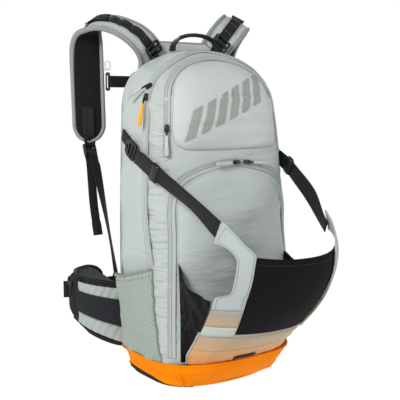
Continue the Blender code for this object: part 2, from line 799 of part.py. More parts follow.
def belt_point(side, share):
    """Along the belt's oval, from its root at the back panel to its front end."""
    angle = math.radians(BELT_ROOT_TURN - share * BELT_SWEEP)
    x, y = -side * math.cos(angle), math.sin(angle)
    return Vector((x * BELT_HALF_WIDTH, BELT_CENTRE_Y + y * BELT_HALF_DEPTH, 0))


def make_wing(side, name):
    rows = []
    for k in range(15):
        share = k / 14
        p = belt_point(side, share)
        low = 0.046 + 0.040 * min(1, share * 1.5)
        high = 0.146 + 0.004 * share
        rows.append([Vector((p.x, p.y, low + (high - low) * i / 2)) for i in range(3)])
    sheet(f"hip_wing_{name}", rows, BELT_THICK, MESH_FABRIC)


def make_belt():
    for side, name in ((-1, "left"), (1, "right")):
        make_wing(side, name)
    width = 0.034
    clip_female("belt_clip_socket", Vector((-0.0100, BELT_CLIP_Y, BELT_CLIP_Z)), Vector((1, 0, 0)), width)
    straight_webbing("belt_webbing_left", -0.0515, -0.0900, BELT_CLIP_Y, BELT_CLIP_Z, 0.025)
    back = clip_male("belt_clip_prongs", Vector((-0.0040, BELT_CLIP_Y, BELT_CLIP_Z)), Vector((-1, 0, 0)), width)
    straight_webbing("belt_webbing_right", -0.0040 + back + 0.0006, 0.1000, BELT_CLIP_Y, BELT_CLIP_Z, 0.025)


# ---------------------------------------------------------------- haul loop


def make_haul_loop():
    """The webbing loop that the pack is lifted and hung by."""
    path = []
    for k in range(13):
        a = math.radians(180 * k / 12)
        path.append(Vector((-0.047 * math.cos(a), 0.022, 0.5515 + 0.026 * math.sin(a) ** 0.8)))
    band("haul_loop", path, [Vector((0, 1, 0))] * 13, 0.018, 0.0024, BLACK_FABRIC)


# ---------------------------------------------------------------- assembly

make_main_shell()
make_base()
make_back()
make_inside()
make_zips()
make_lower_panel()
make_stretch_panel()
for SIDE, NAME in ((-1, "left"), (1, "right")):
    make_pocket(SIDE, NAME)
    make_arm(SIDE, NAME)
    make_gusset(SIDE, NAME)
    make_flap_strap(SIDE, NAME)
    make_hook(SIDE, NAME)
    make_strap_pad(SIDE, NAME)
    make_strap_webbing(SIDE, NAME)
    make_lifter(SIDE, NAME)
make_sternum()
make_belt()
make_haul_loop()
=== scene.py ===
"""Looks of the ski backpack: fabric, padding, webbing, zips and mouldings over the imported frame.

Units are metres. +Z is up, the front of the pack faces -Y and the wearer stands on the +Y side.
Left and right are -X and +X. The tables of the bag's shape follow those of the CAD model.
"""

import math

import bmesh
import bpy
from mathutils import Matrix, Vector, noise


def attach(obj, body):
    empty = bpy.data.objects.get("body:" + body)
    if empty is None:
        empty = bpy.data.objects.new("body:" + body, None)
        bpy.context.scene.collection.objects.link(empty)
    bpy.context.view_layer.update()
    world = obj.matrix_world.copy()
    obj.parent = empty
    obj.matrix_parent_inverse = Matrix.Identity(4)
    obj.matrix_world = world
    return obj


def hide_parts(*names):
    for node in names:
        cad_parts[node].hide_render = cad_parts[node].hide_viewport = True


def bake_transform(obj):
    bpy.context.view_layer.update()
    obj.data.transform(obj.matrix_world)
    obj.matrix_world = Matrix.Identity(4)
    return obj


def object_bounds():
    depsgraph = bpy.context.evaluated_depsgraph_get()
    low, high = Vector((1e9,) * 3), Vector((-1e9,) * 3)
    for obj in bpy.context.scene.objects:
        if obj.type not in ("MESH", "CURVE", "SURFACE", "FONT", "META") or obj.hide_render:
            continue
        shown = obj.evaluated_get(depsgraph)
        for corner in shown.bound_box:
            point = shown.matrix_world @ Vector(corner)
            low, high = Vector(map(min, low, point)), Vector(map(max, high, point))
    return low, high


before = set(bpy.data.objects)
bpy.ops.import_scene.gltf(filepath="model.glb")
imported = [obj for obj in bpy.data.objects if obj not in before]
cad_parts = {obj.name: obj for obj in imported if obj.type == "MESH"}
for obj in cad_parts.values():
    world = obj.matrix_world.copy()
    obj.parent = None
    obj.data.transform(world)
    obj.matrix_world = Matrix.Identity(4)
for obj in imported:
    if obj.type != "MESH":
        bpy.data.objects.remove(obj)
CAD_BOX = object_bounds()

# ---------------------------------------------------------------- the bag's shape, as in CAD

HEIGHT = 0.550
SHOULDER_Z = 0.450
DOME_POWER = 2.2
DOME_HALF_WIDTH = 0.127
DOME_HALF_DEPTH = 0.070
DOME_LEAN = 0.020
FRONT_SQUARENESS = 3.6
BACK_SQUARENESS = 8.0
# height, half width, front y, back y
BODY = (
    (0.045, 0.131, -0.096, 0.068),
    (0.150, 0.133, -0.100, 0.070),
    (0.250, 0.133, -0.096, 0.070),
    (0.340, 0.131, -0.085, 0.070),
    (0.400, 0.129, -0.077, 0.070),
    (0.450, 0.127, -0.070, 0.070),
)
BOOT = (
    (0.0020, 0.104, -0.074, 0.064),
    (0.009, 0.116, -0.090, 0.067),
    (0.022, 0.125, -0.105, 0.068),
    (0.038, 0.130, -0.116, 0.069),
    (0.0495, 0.1315, -0.121, 0.0695),
)
BOOT_SQUARENESS = 2.8
# height, half width, depth of the carrier's bulge in front of FLAP_ROOT_Y
FLAP = (
    (0.052, 0.098, 0.030),
    (0.080, 0.103, 0.068),
    (0.108, 0.110, 0.102),
    (0.155, 0.128, 0.145),
    (0.200, 0.138, 0.168),
    (0.235, 0.138, 0.176),
    (0.265, 0.128, 0.175),
    (0.300, 0.113, 0.167),
)
# height, how far round the carrier's lower part reaches, in degrees
FLAP_EDGE = (
    (0.052, 88.0), (0.080, 77.0), (0.104, 69.5), (0.127, 63.5), (0.158, 58.0), (0.176, 56.5),
)
FLAP_ROOT_Y = -0.092
FLAP_SQUARENESS = 2.2
# y and height of the main zip up a side, then x and y of it over the top
MAIN_ZIP_SIDE = (
    (-0.0430, 0.205), (-0.0380, 0.250), (-0.0325, 0.300), (-0.0290, 0.350), (-0.0275, 0.400),
    (-0.0255, 0.440), (-0.0245, 0.465), (-0.0235, 0.485), (-0.0225, 0.502),
)
MAIN_ZIP_TOP = ((0.089, -0.0215), (0.077, -0.0200), (0.062, -0.0175), (0.045, -0.0125), (0.025, -0.0060))
# x and height of the left halves of the two arched zips on the front
POCKET_ZIP_LEFT = (
    (-0.1140, 0.379), (-0.1115, 0.409), (-0.1090, 0.435), (-0.1045, 0.4725), (-0.0975, 0.4915),
    (-0.0795, 0.5125), (-0.0540, 0.5265), (-0.0190, 0.5345), (0.0, 0.5355),
)
FRONT_ZIP_LEFT = (
    (-0.1145, 0.060), (-0.1160, 0.122), (-0.1160, 0.187), (-0.1140, 0.250), (-0.1133, 0.289),
    (-0.1104, 0.312), (-0.1024, 0.334), (-0.0839, 0.349), (-0.0533, 0.359), (-0.0200, 0.3655),
    (0.0, 0.367),
)
SLIDER_LIFT = 0.0056  # middle of a zip slider above the bag
SIDES = ((-1, "left"), (1, "right"))

# ---------------------------------------------------------------- curves and places on the bag


def between(stations, at):
    """The values of a table of (position, value, ...) rows at a position, on a smooth curve."""
    last = len(stations) - 1
    k = max(0, min(last - 1, sum(1 for s in stations if s[0] <= at) - 1))
    a, b = stations[k], stations[k + 1]
    before, after = stations[max(0, k - 1)], stations[min(last, k + 2)]
    span = b[0] - a[0]
    t = min(1.0, max(0.0, (at - a[0]) / span))
    found = []
    for i in range(1, len(a)):
        slope_a = (b[i] - before[i]) / (b[0] - before[0]) * span
        slope_b = (after[i] - a[i]) / (after[0] - a[0]) * span
        found.append(
            (2 * t**3 - 3 * t**2 + 1) * a[i]
            + (t**3 - 2 * t**2 + t) * slope_a
            + (3 * t**2 - 2 * t**3) * b[i]
            + (t**3 - t**2) * slope_b
        )
    return found


def smooth_path(points, count):
    """Count points along a smooth curve through the given ones."""
    table = [(float(i), *p) for i, p in enumerate(points)]
    last = len(points) - 1
    return [Vector(between(table, last * k / (count - 1))) for k in range(count)]


def even_path(points, spacing):
    """Points a fixed distance apart along a line of points, the last one included."""
    lengths = [0.0]
    for a, b in zip(points, points[1:]):
        lengths.append(lengths[-1] + (b - a).length)
    count = max(2, round(lengths[-1] / spacing))
    found, k = [], 0
    for i in range(count + 1):
        at = lengths[-1] * i / count
        while k < len(points) - 2 and lengths[k + 1] < at:
            k += 1
        share = (at - lengths[k]) / max(1e-9, lengths[k + 1] - lengths[k])
        found.append(points[k].lerp(points[k + 1], share))
    return found


def body_section(z):
    """Half width, middle y and half depth of the bag at a height."""
    if z <= SHOULDER_Z:
        half_width, front, back = between(BODY, z)
        return half_width, (front + back) / 2, (back - front) / 2
    share = min(0.9999, (z - SHOULDER_Z) / (HEIGHT - SHOULDER_Z))
    close = (1 - share**DOME_POWER) ** (1 / DOME_POWER)
    return DOME_HALF_WIDTH * close, DOME_LEAN * share, DOME_HALF_DEPTH * close**0.9


def rounded(value, power):
    """A sine or cosine bent so that a circle becomes a rounded rectangle."""
    return math.copysign(abs(value) ** (2 / power), value)


def ring_point(section, turn, front_power, back_power, z):
    """A point of a section, turned in degrees from the front middle towards +X."""
    half_width, middle, half_depth = section
    s, c = math.sin(math.radians(turn)), math.cos(math.radians(turn))
    power = front_power if c >= 0 else back_power
    return Vector((half_width * rounded(s, power), middle - half_depth * rounded(c, power), z))


def body_level(p):
    """Below 1 inside the bag, above 1 outside it."""
    half_width, middle, half_depth = body_section(p.z)
    power = FRONT_SQUARENESS if p.y < middle else BACK_SQUARENESS
    return abs(p.x / half_width) ** power + abs((p.y - middle) / half_depth) ** power


def body_normal(p):
    """Out of the bag's plain shape."""
    step = 0.0004
    axes = (Vector((step, 0, 0)), Vector((0, step, 0)), Vector((0, 0, step)))
    slope = Vector([body_level(p + a) - body_level(p - a) for a in axes])
    return slope.normalized() if slope.length > 1e-9 else Vector((0, 0, 1))


SWELL = 0.0030  # of the filled bag, a few hand widths across
CREASE = 0.0012
SLANTED_FOLD = 0.0052
FOLDED_BELOW = 0.47
PUCKER_LENGTH = 0.023  # along the zips' seams
PUCKER_DEPTH = 0.0011
PUCKERED_Y, PUCKERED_REACH, PUCKERED_BELOW = -0.058, 0.030, 0.36


def dent(p):
    """How far the filled bag's fabric swells or sinks from its plain shape."""
    broad = noise.noise(p * 8.0) * SWELL
    creases = noise.noise(Vector((p.x * 16, p.y * 16, p.z * 42))) * CREASE
    slanted = noise.noise(Vector((p.x * 9, (p.y - p.z) * 12, (p.y + p.z) * 34)))
    broad += max(0.0, slanted) * SLANTED_FOLD if p.z < FOLDED_BELOW else 0.0
    corner = max(0.0, 1 - abs(p.y - PUCKERED_Y) / PUCKERED_REACH) if p.z < PUCKERED_BELOW else 0.0
    wave = math.sin((p.z + 0.35 * p.y) * math.tau / PUCKER_LENGTH + 3 * noise.noise(p * 20))
    return broad + creases + corner * PUCKER_DEPTH * wave


def skin(p, lift=0.0):
    """A point of the plain shape moved out to the fabric, and then lifted off it."""
    return p + body_normal(p) * (lift + dent(p))


def front_point(x, z, lift=0.0):
    """A point of the bag's front fabric."""
    half_width, middle, half_depth = body_section(z)
    inside = max(0.0, 1 - abs(x / half_width) ** FRONT_SQUARENESS)
    y = middle - half_depth * inside ** (1 / FRONT_SQUARENESS)
    return skin(Vector((x, y, z)), lift)


def side_point(side, y, z, lift=0.0):
    """A point of the fabric on one side of the bag."""
    half_width, middle, half_depth = body_section(z)
    power = FRONT_SQUARENESS if y < middle else BACK_SQUARENESS
    inside = max(0.0, 1 - abs((y - middle) / half_depth) ** power)
    return skin(Vector((side * half_width * inside ** (1 / power), y, z)), lift)


def top_point(x, y):
    """A point of the fabric on the domed top."""
    low, high = SHOULDER_Z, HEIGHT
    for _ in range(30):
        middle = (low + high) / 2
        if body_level(Vector((x, y, middle))) < 1:
            low = middle
        else:
            high = middle
    return skin(Vector((x, y, low)))


def flap_out(turn, z):
    """A point of the helmet carrier and the direction out of it."""
    half_width, depth = between(FLAP, z)
    s, c = math.sin(math.radians(turn)), math.cos(math.radians(turn))
    x, y = half_width * rounded(s, FLAP_SQUARENESS), depth * rounded(c, FLAP_SQUARENESS)
    return Vector((x, FLAP_ROOT_Y - y, z)), Vector((x / half_width**2, -y / depth**2, 0.0)).normalized()


def flap_point(turn, z, lift=0.0):
    """A point of the helmet carrier, turned in degrees from its front middle towards +X."""
    p, out = flap_out(turn, z)
    return p + out * lift


# ---------------------------------------------------------------- material nodes


def linear(red, green, blue):
    """A linear colour from 0 to 255 display values."""
    return [((c / 255 + 0.055) / 1.055) ** 2.4 for c in (red, green, blue)] + [1.0]


def scaled(colour, by):
    """A lighter or darker shade of a colour."""
    return [min(1.0, c * by) for c in colour[:3]] + [1.0]


class Shader:
    """A material's node tree, with short calls for the nodes that the finishes share."""

    def __init__(self, name, roughness, sheen=0.0, metallic=0.0, specular=0.5):
        self.material = bpy.data.materials.new(name)
        self.material.use_nodes = True
        self.tree = self.material.node_tree
        self.base = self.tree.nodes["Principled BSDF"]
        self.set("Roughness", roughness)
        self.set("Metallic", metallic)
        self.set("Sheen Weight", sheen)
        self.set("Specular IOR Level", specular)
        self.height = None
        coordinates = self.tree.nodes.new("ShaderNodeTexCoord")
        self.uv = coordinates.outputs["UV"]
        self.place = coordinates.outputs["Object"]

    def set(self, socket, value):
        self.base.inputs[socket].default_value = value

    def node(self, kind, inputs=None, **settings):
        made = self.tree.nodes.new(f"ShaderNode{kind}")
        for key, value in settings.items():
            setattr(made, key, value)
        for key, value in (inputs or {}).items():
            if isinstance(value, bpy.types.NodeSocket):
                self.tree.links.new(value, made.inputs[key])
            else:
                made.inputs[key].default_value = value
        return made

    def math(self, operation, a, b=0.0, c=0.0):
        return self.node("Math", {0: a, 1: b, 2: c}, operation=operation).outputs[0]

    def noise(self, size, detail=3.0, stretch=(1, 1, 1)):
        """Noise from 0 to 1 whose lumps are about this many metres across."""
        scale = self.node("Mapping", {"Vector": self.place, "Scale": stretch})
        inputs = {"Vector": scale.outputs[0], "Scale": 1 / size, "Detail": detail}
        return self.node("TexNoise", inputs).outputs["Fac"]

    def stripes(self, size, axis, turn=0.0):
        """Waves from 0 to 1 of this length along X or Y, turned by an angle."""
        turned = self.node("Mapping", {"Vector": self.uv, "Rotation": (0, 0, turn)})
        inputs = {"Vector": turned.outputs[0], "Scale": math.tau / size / 20}
        return self.node("TexWave", inputs, bands_direction=axis).outputs["Fac"]

    def squares(self, size, share, turn=0.0):
        """1 on the thin lines of a ripstop grid and 0 between them."""
        turned = self.node("Mapping", {"Vector": self.uv, "Rotation": (0, 0, turn)})
        parts = self.node("SeparateXYZ", {0: turned.outputs[0]})
        lines = []
        for axis in (0, 1):
            repeats = self.math("FRACT", self.math("MULTIPLY", parts.outputs[axis], 1 / size))
            lines.append(self.math("LESS_THAN", repeats, share))
        return self.math("MAXIMUM", *lines)

    def holes(self, size, at=None):
        """Round holes of a knitted mesh: 0 in the middle of each and 1 between them."""
        inputs = {"Vector": at or self.uv, "Scale": 1 / size, "Randomness": 0.15}
        distance = self.node("TexVoronoi", inputs).outputs["Distance"]
        return self.math("MULTIPLY", distance, 1.6)

    def mix(self, share, a, b):
        made = self.node("Mix", {"Factor": share}, data_type="RGBA")
        for socket, value in (("A_Color", a), ("B_Color", b)):
            target = next(s for s in made.inputs if s.identifier == socket)
            if isinstance(value, bpy.types.NodeSocket):
                self.tree.links.new(value, target)
            else:
                target.default_value = value
        return next(s for s in made.outputs if s.identifier == "Result_Color")

    def bump(self, height, depth):
        inputs = {"Height": height, "Distance": depth, "Strength": 1.0}
        if self.height:
            inputs["Normal"] = self.height
        self.height = self.node("Bump", inputs).outputs[0]

    def finish(self, colour):
        self.tree.links.new(colour, self.base.inputs["Base Color"])
        if self.height:
            self.tree.links.new(self.height, self.base.inputs["Normal"])
        return self.material


def shaded(shader, colour, amount, size=0.05):
    """The colour with slow changes of shade, as handled and sewn cloth has."""
    share = shader.noise(size)
    return shader.mix(share, scaled(colour, 1 - amount), scaled(colour, 1 + amount))


def make_pack_cloth(name, colour, ripstop=0.0, wrinkle=0.0010, puckers=0.0):
    """Coated polyester: a fine weave, soft wrinkles and, if asked, ripstop squares."""
    shader = Shader(name, 0.62, sheen=0.10, specular=0.25)
    tone = shaded(shader, colour, 0.05)
    if ripstop:
        grid = shader.squares(0.0042, 0.16)
        tone = shader.mix(shader.math("MULTIPLY", grid, ripstop), tone, scaled(colour, 0.80))
        shader.bump(grid, 0.00015)
    weave = shader.math("MULTIPLY", shader.stripes(0.0011, "X"), shader.stripes(0.0011, "Y"))
    shader.bump(weave, 0.00012)
    shader.bump(shader.noise(0.030, detail=5.0), wrinkle)
    if puckers:
        parts = shader.node("SeparateXYZ", {0: shader.place})
        outside = shader.math("GREATER_THAN", shader.math("ABSOLUTE", parts.outputs[0]), 0.112)
        away = shader.math("ABSOLUTE", shader.math("ADD", parts.outputs[1], 0.062))
        strip = shader.node("MapRange", {0: away, 1: 0.018, 2: 0.034, 3: 1.0, 4: 0.22})
        creases = shader.noise(0.021, detail=4.0, stretch=(0.45, 0.45, 2.6))
        share = shader.math("MAXIMUM", shader.math("MULTIPLY", strip.outputs[0], outside), 0.22)
        shader.bump(shader.math("MULTIPLY", creases, share), puckers)
    return shader.finish(tone)


def make_boot_cloth():
    """Orange tarpaulin, smoother than the bag's cloth, with worn paler high spots."""
    colour = linear(240, 129, 0)
    shader = Shader("boot_tarpaulin", 0.62, specular=0.03)
    tone = shaded(shader, colour, 0.07, 0.035)
    scuffs = shader.math("GREATER_THAN", shader.noise(0.006, detail=6.0), 0.70)
    tone = shader.mix(shader.math("MULTIPLY", scuffs, 0.10), tone, scaled(colour, 1.3))
    shader.bump(shader.stripes(0.0014, "X"), 0.00006)
    shader.bump(shader.noise(0.040, detail=5.0, stretch=(1, 1, 2.4)), 0.0022)
    return shader.finish(tone)


def make_faded_ripstop(name, low, high):
    """Ripstop printed from orange at a low height to grey-beige at a higher one."""
    shader = Shader(name, 0.50, sheen=0.08, specular=0.15)
    parts = shader.node("SeparateXYZ", {0: shader.place})
    rise = shader.node("MapRange", {0: parts.outputs[2], 1: low, 2: high})
    ramp = shader.node("ValToRGB", {0: rise.outputs[0]})
    ramp.color_ramp.elements[0].color = linear(226, 136, 30)
    ramp.color_ramp.elements[1].color = linear(150, 142, 132)
    middle = ramp.color_ramp.elements.new(0.55)
    middle.color = linear(186, 150, 104)
    grid = shader.squares(0.0034, 0.28, turn=math.radians(45))
    tone = shader.mix(shader.math("MULTIPLY", grid, 0.30), ramp.outputs[0], linear(168, 164, 158))
    shader.bump(grid, 0.00012)
    shader.bump(shader.noise(0.030, detail=4.0, stretch=(0.5, 0.5, 2.6)), 0.0024)
    return shader.finish(tone)


def make_laminate():
    """Stiff cut-edge laminate of the carrier's arms."""
    colour = linear(160, 168, 167)
    shader = Shader("arm_laminate", 0.55, sheen=0.05, specular=0.25)
    tone = shaded(shader, colour, 0.03, 0.03)
    shader.bump(shader.stripes(0.0009, "X"), 0.00006)
    shader.bump(shader.noise(0.05), 0.0006)
    return shader.finish(tone)


def make_black_knit(name, colour, depth=0.00020):
    """Stretch knit with fine vertical ribs."""
    shader = Shader(name, 0.88, sheen=0.02, specular=0.08)
    tone = shaded(shader, colour, 0.15, 0.04)
    shader.bump(shader.stripes(0.0013, "X"), depth)
    shader.bump(shader.stripes(0.0019, "Y"), depth / 2)
    return shader.finish(tone)


def make_black_nylon():
    """Thin crumpled nylon of the gussets."""
    colour = linear(12, 11, 13)
    shader = Shader("gusset_nylon", 0.42, specular=0.10)
    tone = shaded(shader, colour, 0.2, 0.03)
    shader.bump(shader.noise(0.028, detail=6.0, stretch=(1.4, 1, 0.6)), 0.0050)
    return shader.finish(tone)


def make_webbing():
    """Black woven webbing: crosswise ribs with a herringbone of slanted threads."""
    colour = linear(22, 22, 24)
    shader = Shader("webbing", 0.62, sheen=0.04, specular=0.18)
    threads = [shader.stripes(0.0021, "X", turn=math.radians(turn)) for turn in (35, -35)]
    slant = shader.math("MAXIMUM", *threads)
    tone = shader.mix(slant, scaled(colour, 0.75), scaled(colour, 1.35))
    shader.bump(slant, 0.00025)
    return shader.finish(tone)


def make_spacer_mesh():
    """Open spacer mesh over foam: rows of round holes."""
    colour = linear(25, 24, 25)
    shader = Shader("strap_mesh", 0.9, sheen=0.04, specular=0.10)
    hole = shader.holes(0.0030)
    tone = shader.mix(hole, scaled(colour, 0.35), scaled(colour, 1.3))
    shader.bump(hole, 0.00060)
    return shader.finish(tone)


def make_pad_mesh():
    """The same mesh on pads without laid-out cloth coordinates."""
    shader = Shader("pad_mesh", 0.9, sheen=0.04, specular=0.10)
    flat = shader.node("Mapping", {"Vector": shader.place, "Scale": (1, 0.02, 1)})
    hole = shader.holes(0.0038, flat.outputs[0])
    tone = shader.mix(hole, linear(9, 9, 10), linear(44, 46, 48))
    shader.bump(hole, 0.00080)
    return shader.finish(tone)


def make_pocket_mesh():
    """Stretch mesh of the side pockets, its slanted ribs let the bag show through."""
    colour = linear(152, 164, 154)
    shader = Shader("pocket_mesh", 0.8, sheen=0.12, specular=0.2)
    slant = shader.stripes(0.0040, "X", turn=math.radians(38))
    tone = shader.mix(slant, scaled(colour, 0.68), scaled(colour, 1.08))
    shader.bump(slant, 0.00055)
    shader.bump(shader.noise(0.03, detail=4.0, stretch=(1, 1, 0.5)), 0.0016)
    return shader.finish(tone)


def make_binding(name, colour):
    """Folded tape that binds the edge of a pad."""
    shader = Shader(name, 0.75, sheen=0.06, specular=0.15)
    tone = shaded(shader, colour, 0.06, 0.02)
    shader.bump(shader.stripes(0.0012, "Y"), 0.00015)
    return shader.finish(tone)


def make_moulding(name, colour, roughness=0.38):
    """Moulded plastic or rubber with the faint grain of its mould."""
    shader = Shader(name, roughness)
    shader.bump(shader.noise(0.0012, detail=2.0), 0.00006)
    tone = shaded(shader, colour, 0.05, 0.01)
    return shader.finish(tone)


def make_zip_metal():
    """Black-plated metal of the zip sliders."""
    shader = Shader("zip_metal", 0.28, metallic=0.6)
    shader.bump(shader.noise(0.0016), 0.00004)
    return shader.finish(shaded(shader, linear(52, 52, 56), 0.15, 0.004))


def make_clear_plastic():
    """Clear moulded plastic of the small clip on a strap."""
    shader = Shader("clear_plastic", 0.25)
    shader.set("Transmission Weight", 0.6)
    shader.bump(shader.noise(0.002), 0.00005)
    return shader.finish(shaded(shader, linear(225, 228, 230), 0.03, 0.01))


def make_thread(name, colour):
    """Sewing thread and zip coil."""
    shader = Shader(name, 0.7)
    shader.bump(shader.noise(0.0006), 0.0001)
    return shader.finish(shaded(shader, colour, 0.12, 0.004))


def make_floor_finish():
    """A lit white floor, which keeps no colour of what stands on it."""
    shader = Shader("studio_floor", 0.9, specular=0.0)
    shader.set("Emission Color", (1, 1, 1, 1))
    shader.set("Emission Strength", 1.0)
    return shader.finish(shaded(shader, linear(30, 30, 30), 0.01, 0.6))


GREY_CLOTH = make_pack_cloth("pack_cloth", linear(172, 180, 175), wrinkle=0.0016, puckers=0.0085)
FRONT_RIPSTOP = make_pack_cloth("front_ripstop", linear(183, 188, 188), ripstop=0.14, wrinkle=0.0006)
TAPE_CLOTH = make_pack_cloth("zip_tape", linear(165, 172, 169), wrinkle=0.0002)
BOOT_CLOTH = make_boot_cloth()
FADED_RIPSTOP = make_faded_ripstop("faded_ripstop", 0.046, 0.122)
FADED_BAND = make_faded_ripstop("faded_band", 0.098, 0.152)
LAMINATE = make_laminate()
STRETCH_KNIT = make_black_knit("stretch_knit", linear(17, 16, 20))
BELT_ELASTIC = make_black_knit("belt_elastic", linear(42, 44, 47), 0.0003)
DARK_CLOTH = make_black_knit("dark_cloth", linear(36, 38, 41), 0.0001)
GUSSET_NYLON = make_black_nylon()
WEBBING_CLOTH = make_webbing()
STRAP_MESH = make_spacer_mesh()
PAD_MESH = make_pad_mesh()
POCKET_MESH = make_pocket_mesh()
GREY_BINDING = make_binding("grey_binding", linear(132, 136, 133))
DARK_BINDING = make_binding("dark_binding", linear(30, 31, 33))
BLACK_PLASTIC = make_moulding("black_plastic", linear(13, 13, 14))
PULL_GREY = make_moulding("puller_grey", linear(176, 177, 181), 0.5)
PULL_ORANGE = make_moulding("puller_orange", linear(238, 156, 4), 0.45)
ZIP_METAL = make_zip_metal()
CLEAR_PLASTIC = make_clear_plastic()
GREY_THREAD = make_thread("grey_thread", linear(112, 118, 118))
DARK_THREAD = make_thread("dark_thread", linear(42, 43, 45))
MARK_PRINT = make_pack_cloth("mark_print", linear(139, 147, 138), wrinkle=0.0003)
FOAM_SHEET = make_moulding("foam_sheet", linear(80, 80, 84), 0.9)
QUILTED_CLOTH = make_pack_cloth("quilted_cloth", linear(158, 166, 161), wrinkle=0.0012)

# ---------------------------------------------------------------- mesh builders


def smooth_faces(piece):
    for polygon in piece.data.polygons:
        polygon.use_smooth = True


def new_piece(name, bm, mat):
    """An object in the scene from a finished bmesh."""
    mesh = bpy.data.meshes.new(name)
    bm.to_mesh(mesh)
    bm.free()
    mesh.materials.append(mat)
    piece = bpy.data.objects.new(name, mesh)
    smooth_faces(piece)
    bpy.context.scene.collection.objects.link(piece)
    return piece


def weld(piece):
    """Joins the corners of a piece that lie on one another."""
    bm = bmesh.new()
    bm.from_mesh(piece.data)
    bmesh.ops.remove_doubles(bm, verts=bm.verts, dist=1e-6)
    bm.to_mesh(piece.data)
    bm.free()


def grid_of(point, across, up):
    """Rows of points, from a function of two shares: across and up."""
    return [[point(i / across, k / up) for i in range(across + 1)] for k in range(up + 1)]


def surface(name, rows, mat, ring=False, thickness=0.0, offset=-1.0):
    """A sheet through rows of points, with cloth coordinates in metres and a thickness if asked."""
    bm = bmesh.new()
    cloth = bm.loops.layers.uv.new("cloth")
    grid = [[bm.verts.new(p) for p in row] for row in rows]
    columns = len(rows[0])
    place = {}
    up = 0.0
    for r, row in enumerate(rows):
        if r:
            up += (row[columns // 2] - rows[r - 1][columns // 2]).length
        along = 0.0
        for c, p in enumerate(row):
            if c:
                along += (p - row[c - 1]).length
            place[grid[r][c]] = (along, up)
    for a, b in zip(grid, grid[1:]):
        for i in range(columns if ring else columns - 1):
            j = (i + 1) % columns
            if len({a[i], a[j], b[j], b[i]}) == 4:
                face = bm.faces.new((a[i], a[j], b[j], b[i]))
                for loop in face.loops:
                    loop[cloth].uv = place[loop.vert]
    piece = new_piece(name, bm, mat)
    if thickness:
        solidify = piece.modifiers.new("thickness", "SOLIDIFY")
        solidify.thickness = thickness
        solidify.offset = offset
    return piece


def heading(path, i):
    """The direction of a line of points at one of them."""
    return (path[min(i + 1, len(path) - 1)] - path[max(i - 1, 0)]).normalized()


def across_and_out(path, sides):
    """The direction of a strap's width and the way its face points, at each point of its path."""
    found = []
    for i, side in enumerate(sides):
        along = heading(path, i)
        across = (side - along * side.dot(along)).normalized()
        found.append((across, along.cross(across)))
    return found


def sweep(name, path, sides, profile, mat, caps=True):
    """A closed profile of (across, out) points carried along a path."""
    rows = []
    for p, (across, out) in zip(path, across_and_out(path, sides)):
        rows.append([p + across * a + out * o for a, o in profile])
    piece = surface(name, rows, mat, ring=True)
    if caps:
        close_ends(piece, len(profile), len(rows))
    return piece


def close_ends(piece, around, rows):
    """Closes the first and the last ring of a piece made of rings."""
    bm = bmesh.new()
    bm.from_mesh(piece.data)
    bm.verts.ensure_lookup_table()
    bm.faces.new([bm.verts[i] for i in reversed(range(around))])
    bm.faces.new([bm.verts[(rows - 1) * around + i] for i in range(around)])
    bmesh.ops.recalc_face_normals(bm, faces=bm.faces[:])
    bm.to_mesh(piece.data)
    bm.free()
    smooth_faces(piece)


def oval(width, height, count=12):
    """The profile of a cord or of a binding."""
    turns = [math.tau * k / count for k in range(count)]
    return [(width / 2 * math.cos(t), height / 2 * math.sin(t)) for t in turns]


def webbing_profile(width, thickness):
    """A flat strap with rounded edges."""
    half, thin = width / 2, thickness / 2
    right = [(half - thin, -thin), (half, -thin * 0.5), (half, thin * 0.5), (half - thin, thin)]
    left = [(-a, -o) for a, o in right]
    return right + [(0, thin)] + left + [(0, -thin)]


def tube(name, path, radius, mat, count=8):
    """A round cord, bar or bound edge along a path."""
    sides = []
    side = Vector((0, 0, 1))
    for i in range(len(path)):
        along = heading(path, i)
        if abs(side.dot(along)) > 0.9:
            side = along.orthogonal()
        side = (side - along * side.dot(along)).normalized()
        sides.append(side)
    return sweep(name, path, sides, oval(radius * 2, radius * 2, count), mat)


def joined(name, pieces):
    """One piece made of several that share a place in the object, keeping their materials."""
    first = pieces[0]
    bpy.ops.object.select_all(action="DESELECT")
    for piece in pieces:
        piece.select_set(True)
    bpy.context.view_layer.objects.active = first
    bpy.ops.object.join()
    first.name = name
    return first


def bead_shape():
    """Corners and faces of a small rounded bead, one unit long each way."""
    corners = [(0, 0.5, 0)]
    for t in (0.8, math.pi - 0.8):
        radius, y = 0.5 * math.sin(t), 0.5 * math.cos(t)
        for k in range(6):
            corners.append((radius * math.cos(k * math.pi / 3), y, radius * math.sin(k * math.pi / 3)))
    corners.append((0, -0.5, 0))
    faces = [(0, 1 + (k + 1) % 6, 1 + k) for k in range(6)]
    faces += [(1 + k, 1 + (k + 1) % 6, 7 + (k + 1) % 6, 7 + k) for k in range(6)]
    faces += [(13, 7 + k, 7 + (k + 1) % 6) for k in range(6)]
    return [Vector(c) for c in corners], faces


BEAD_CORNERS, BEAD_FACES = bead_shape()


def beads(name, points, outs, length, width, height, mat):
    """A row of stitches or zip teeth lying along a line of points."""
    corners, faces = [], []
    for a, b, out in zip(points, points[1:], outs):
        along = (b - a).normalized()
        long = min(length, (b - a).length * 0.92)
        side = out.cross(along) * width
        first, middle = len(corners), (a + b) / 2
        for c in BEAD_CORNERS:
            corners.append(middle + side * c.x + along * (long * c.y) + out * (height * c.z))
        faces += [tuple(first + i for i in face) for face in BEAD_FACES]
    mesh = bpy.data.meshes.new(name)
    mesh.from_pydata(corners, [], faces)
    bm = bmesh.new()
    bm.from_mesh(mesh)
    return new_piece(name, bm, mat)


STITCH_PITCH = 0.0036
COIL_PITCH = 0.0022
STITCH_WIDTH, STITCH_HEIGHT = 0.0009, 0.0007


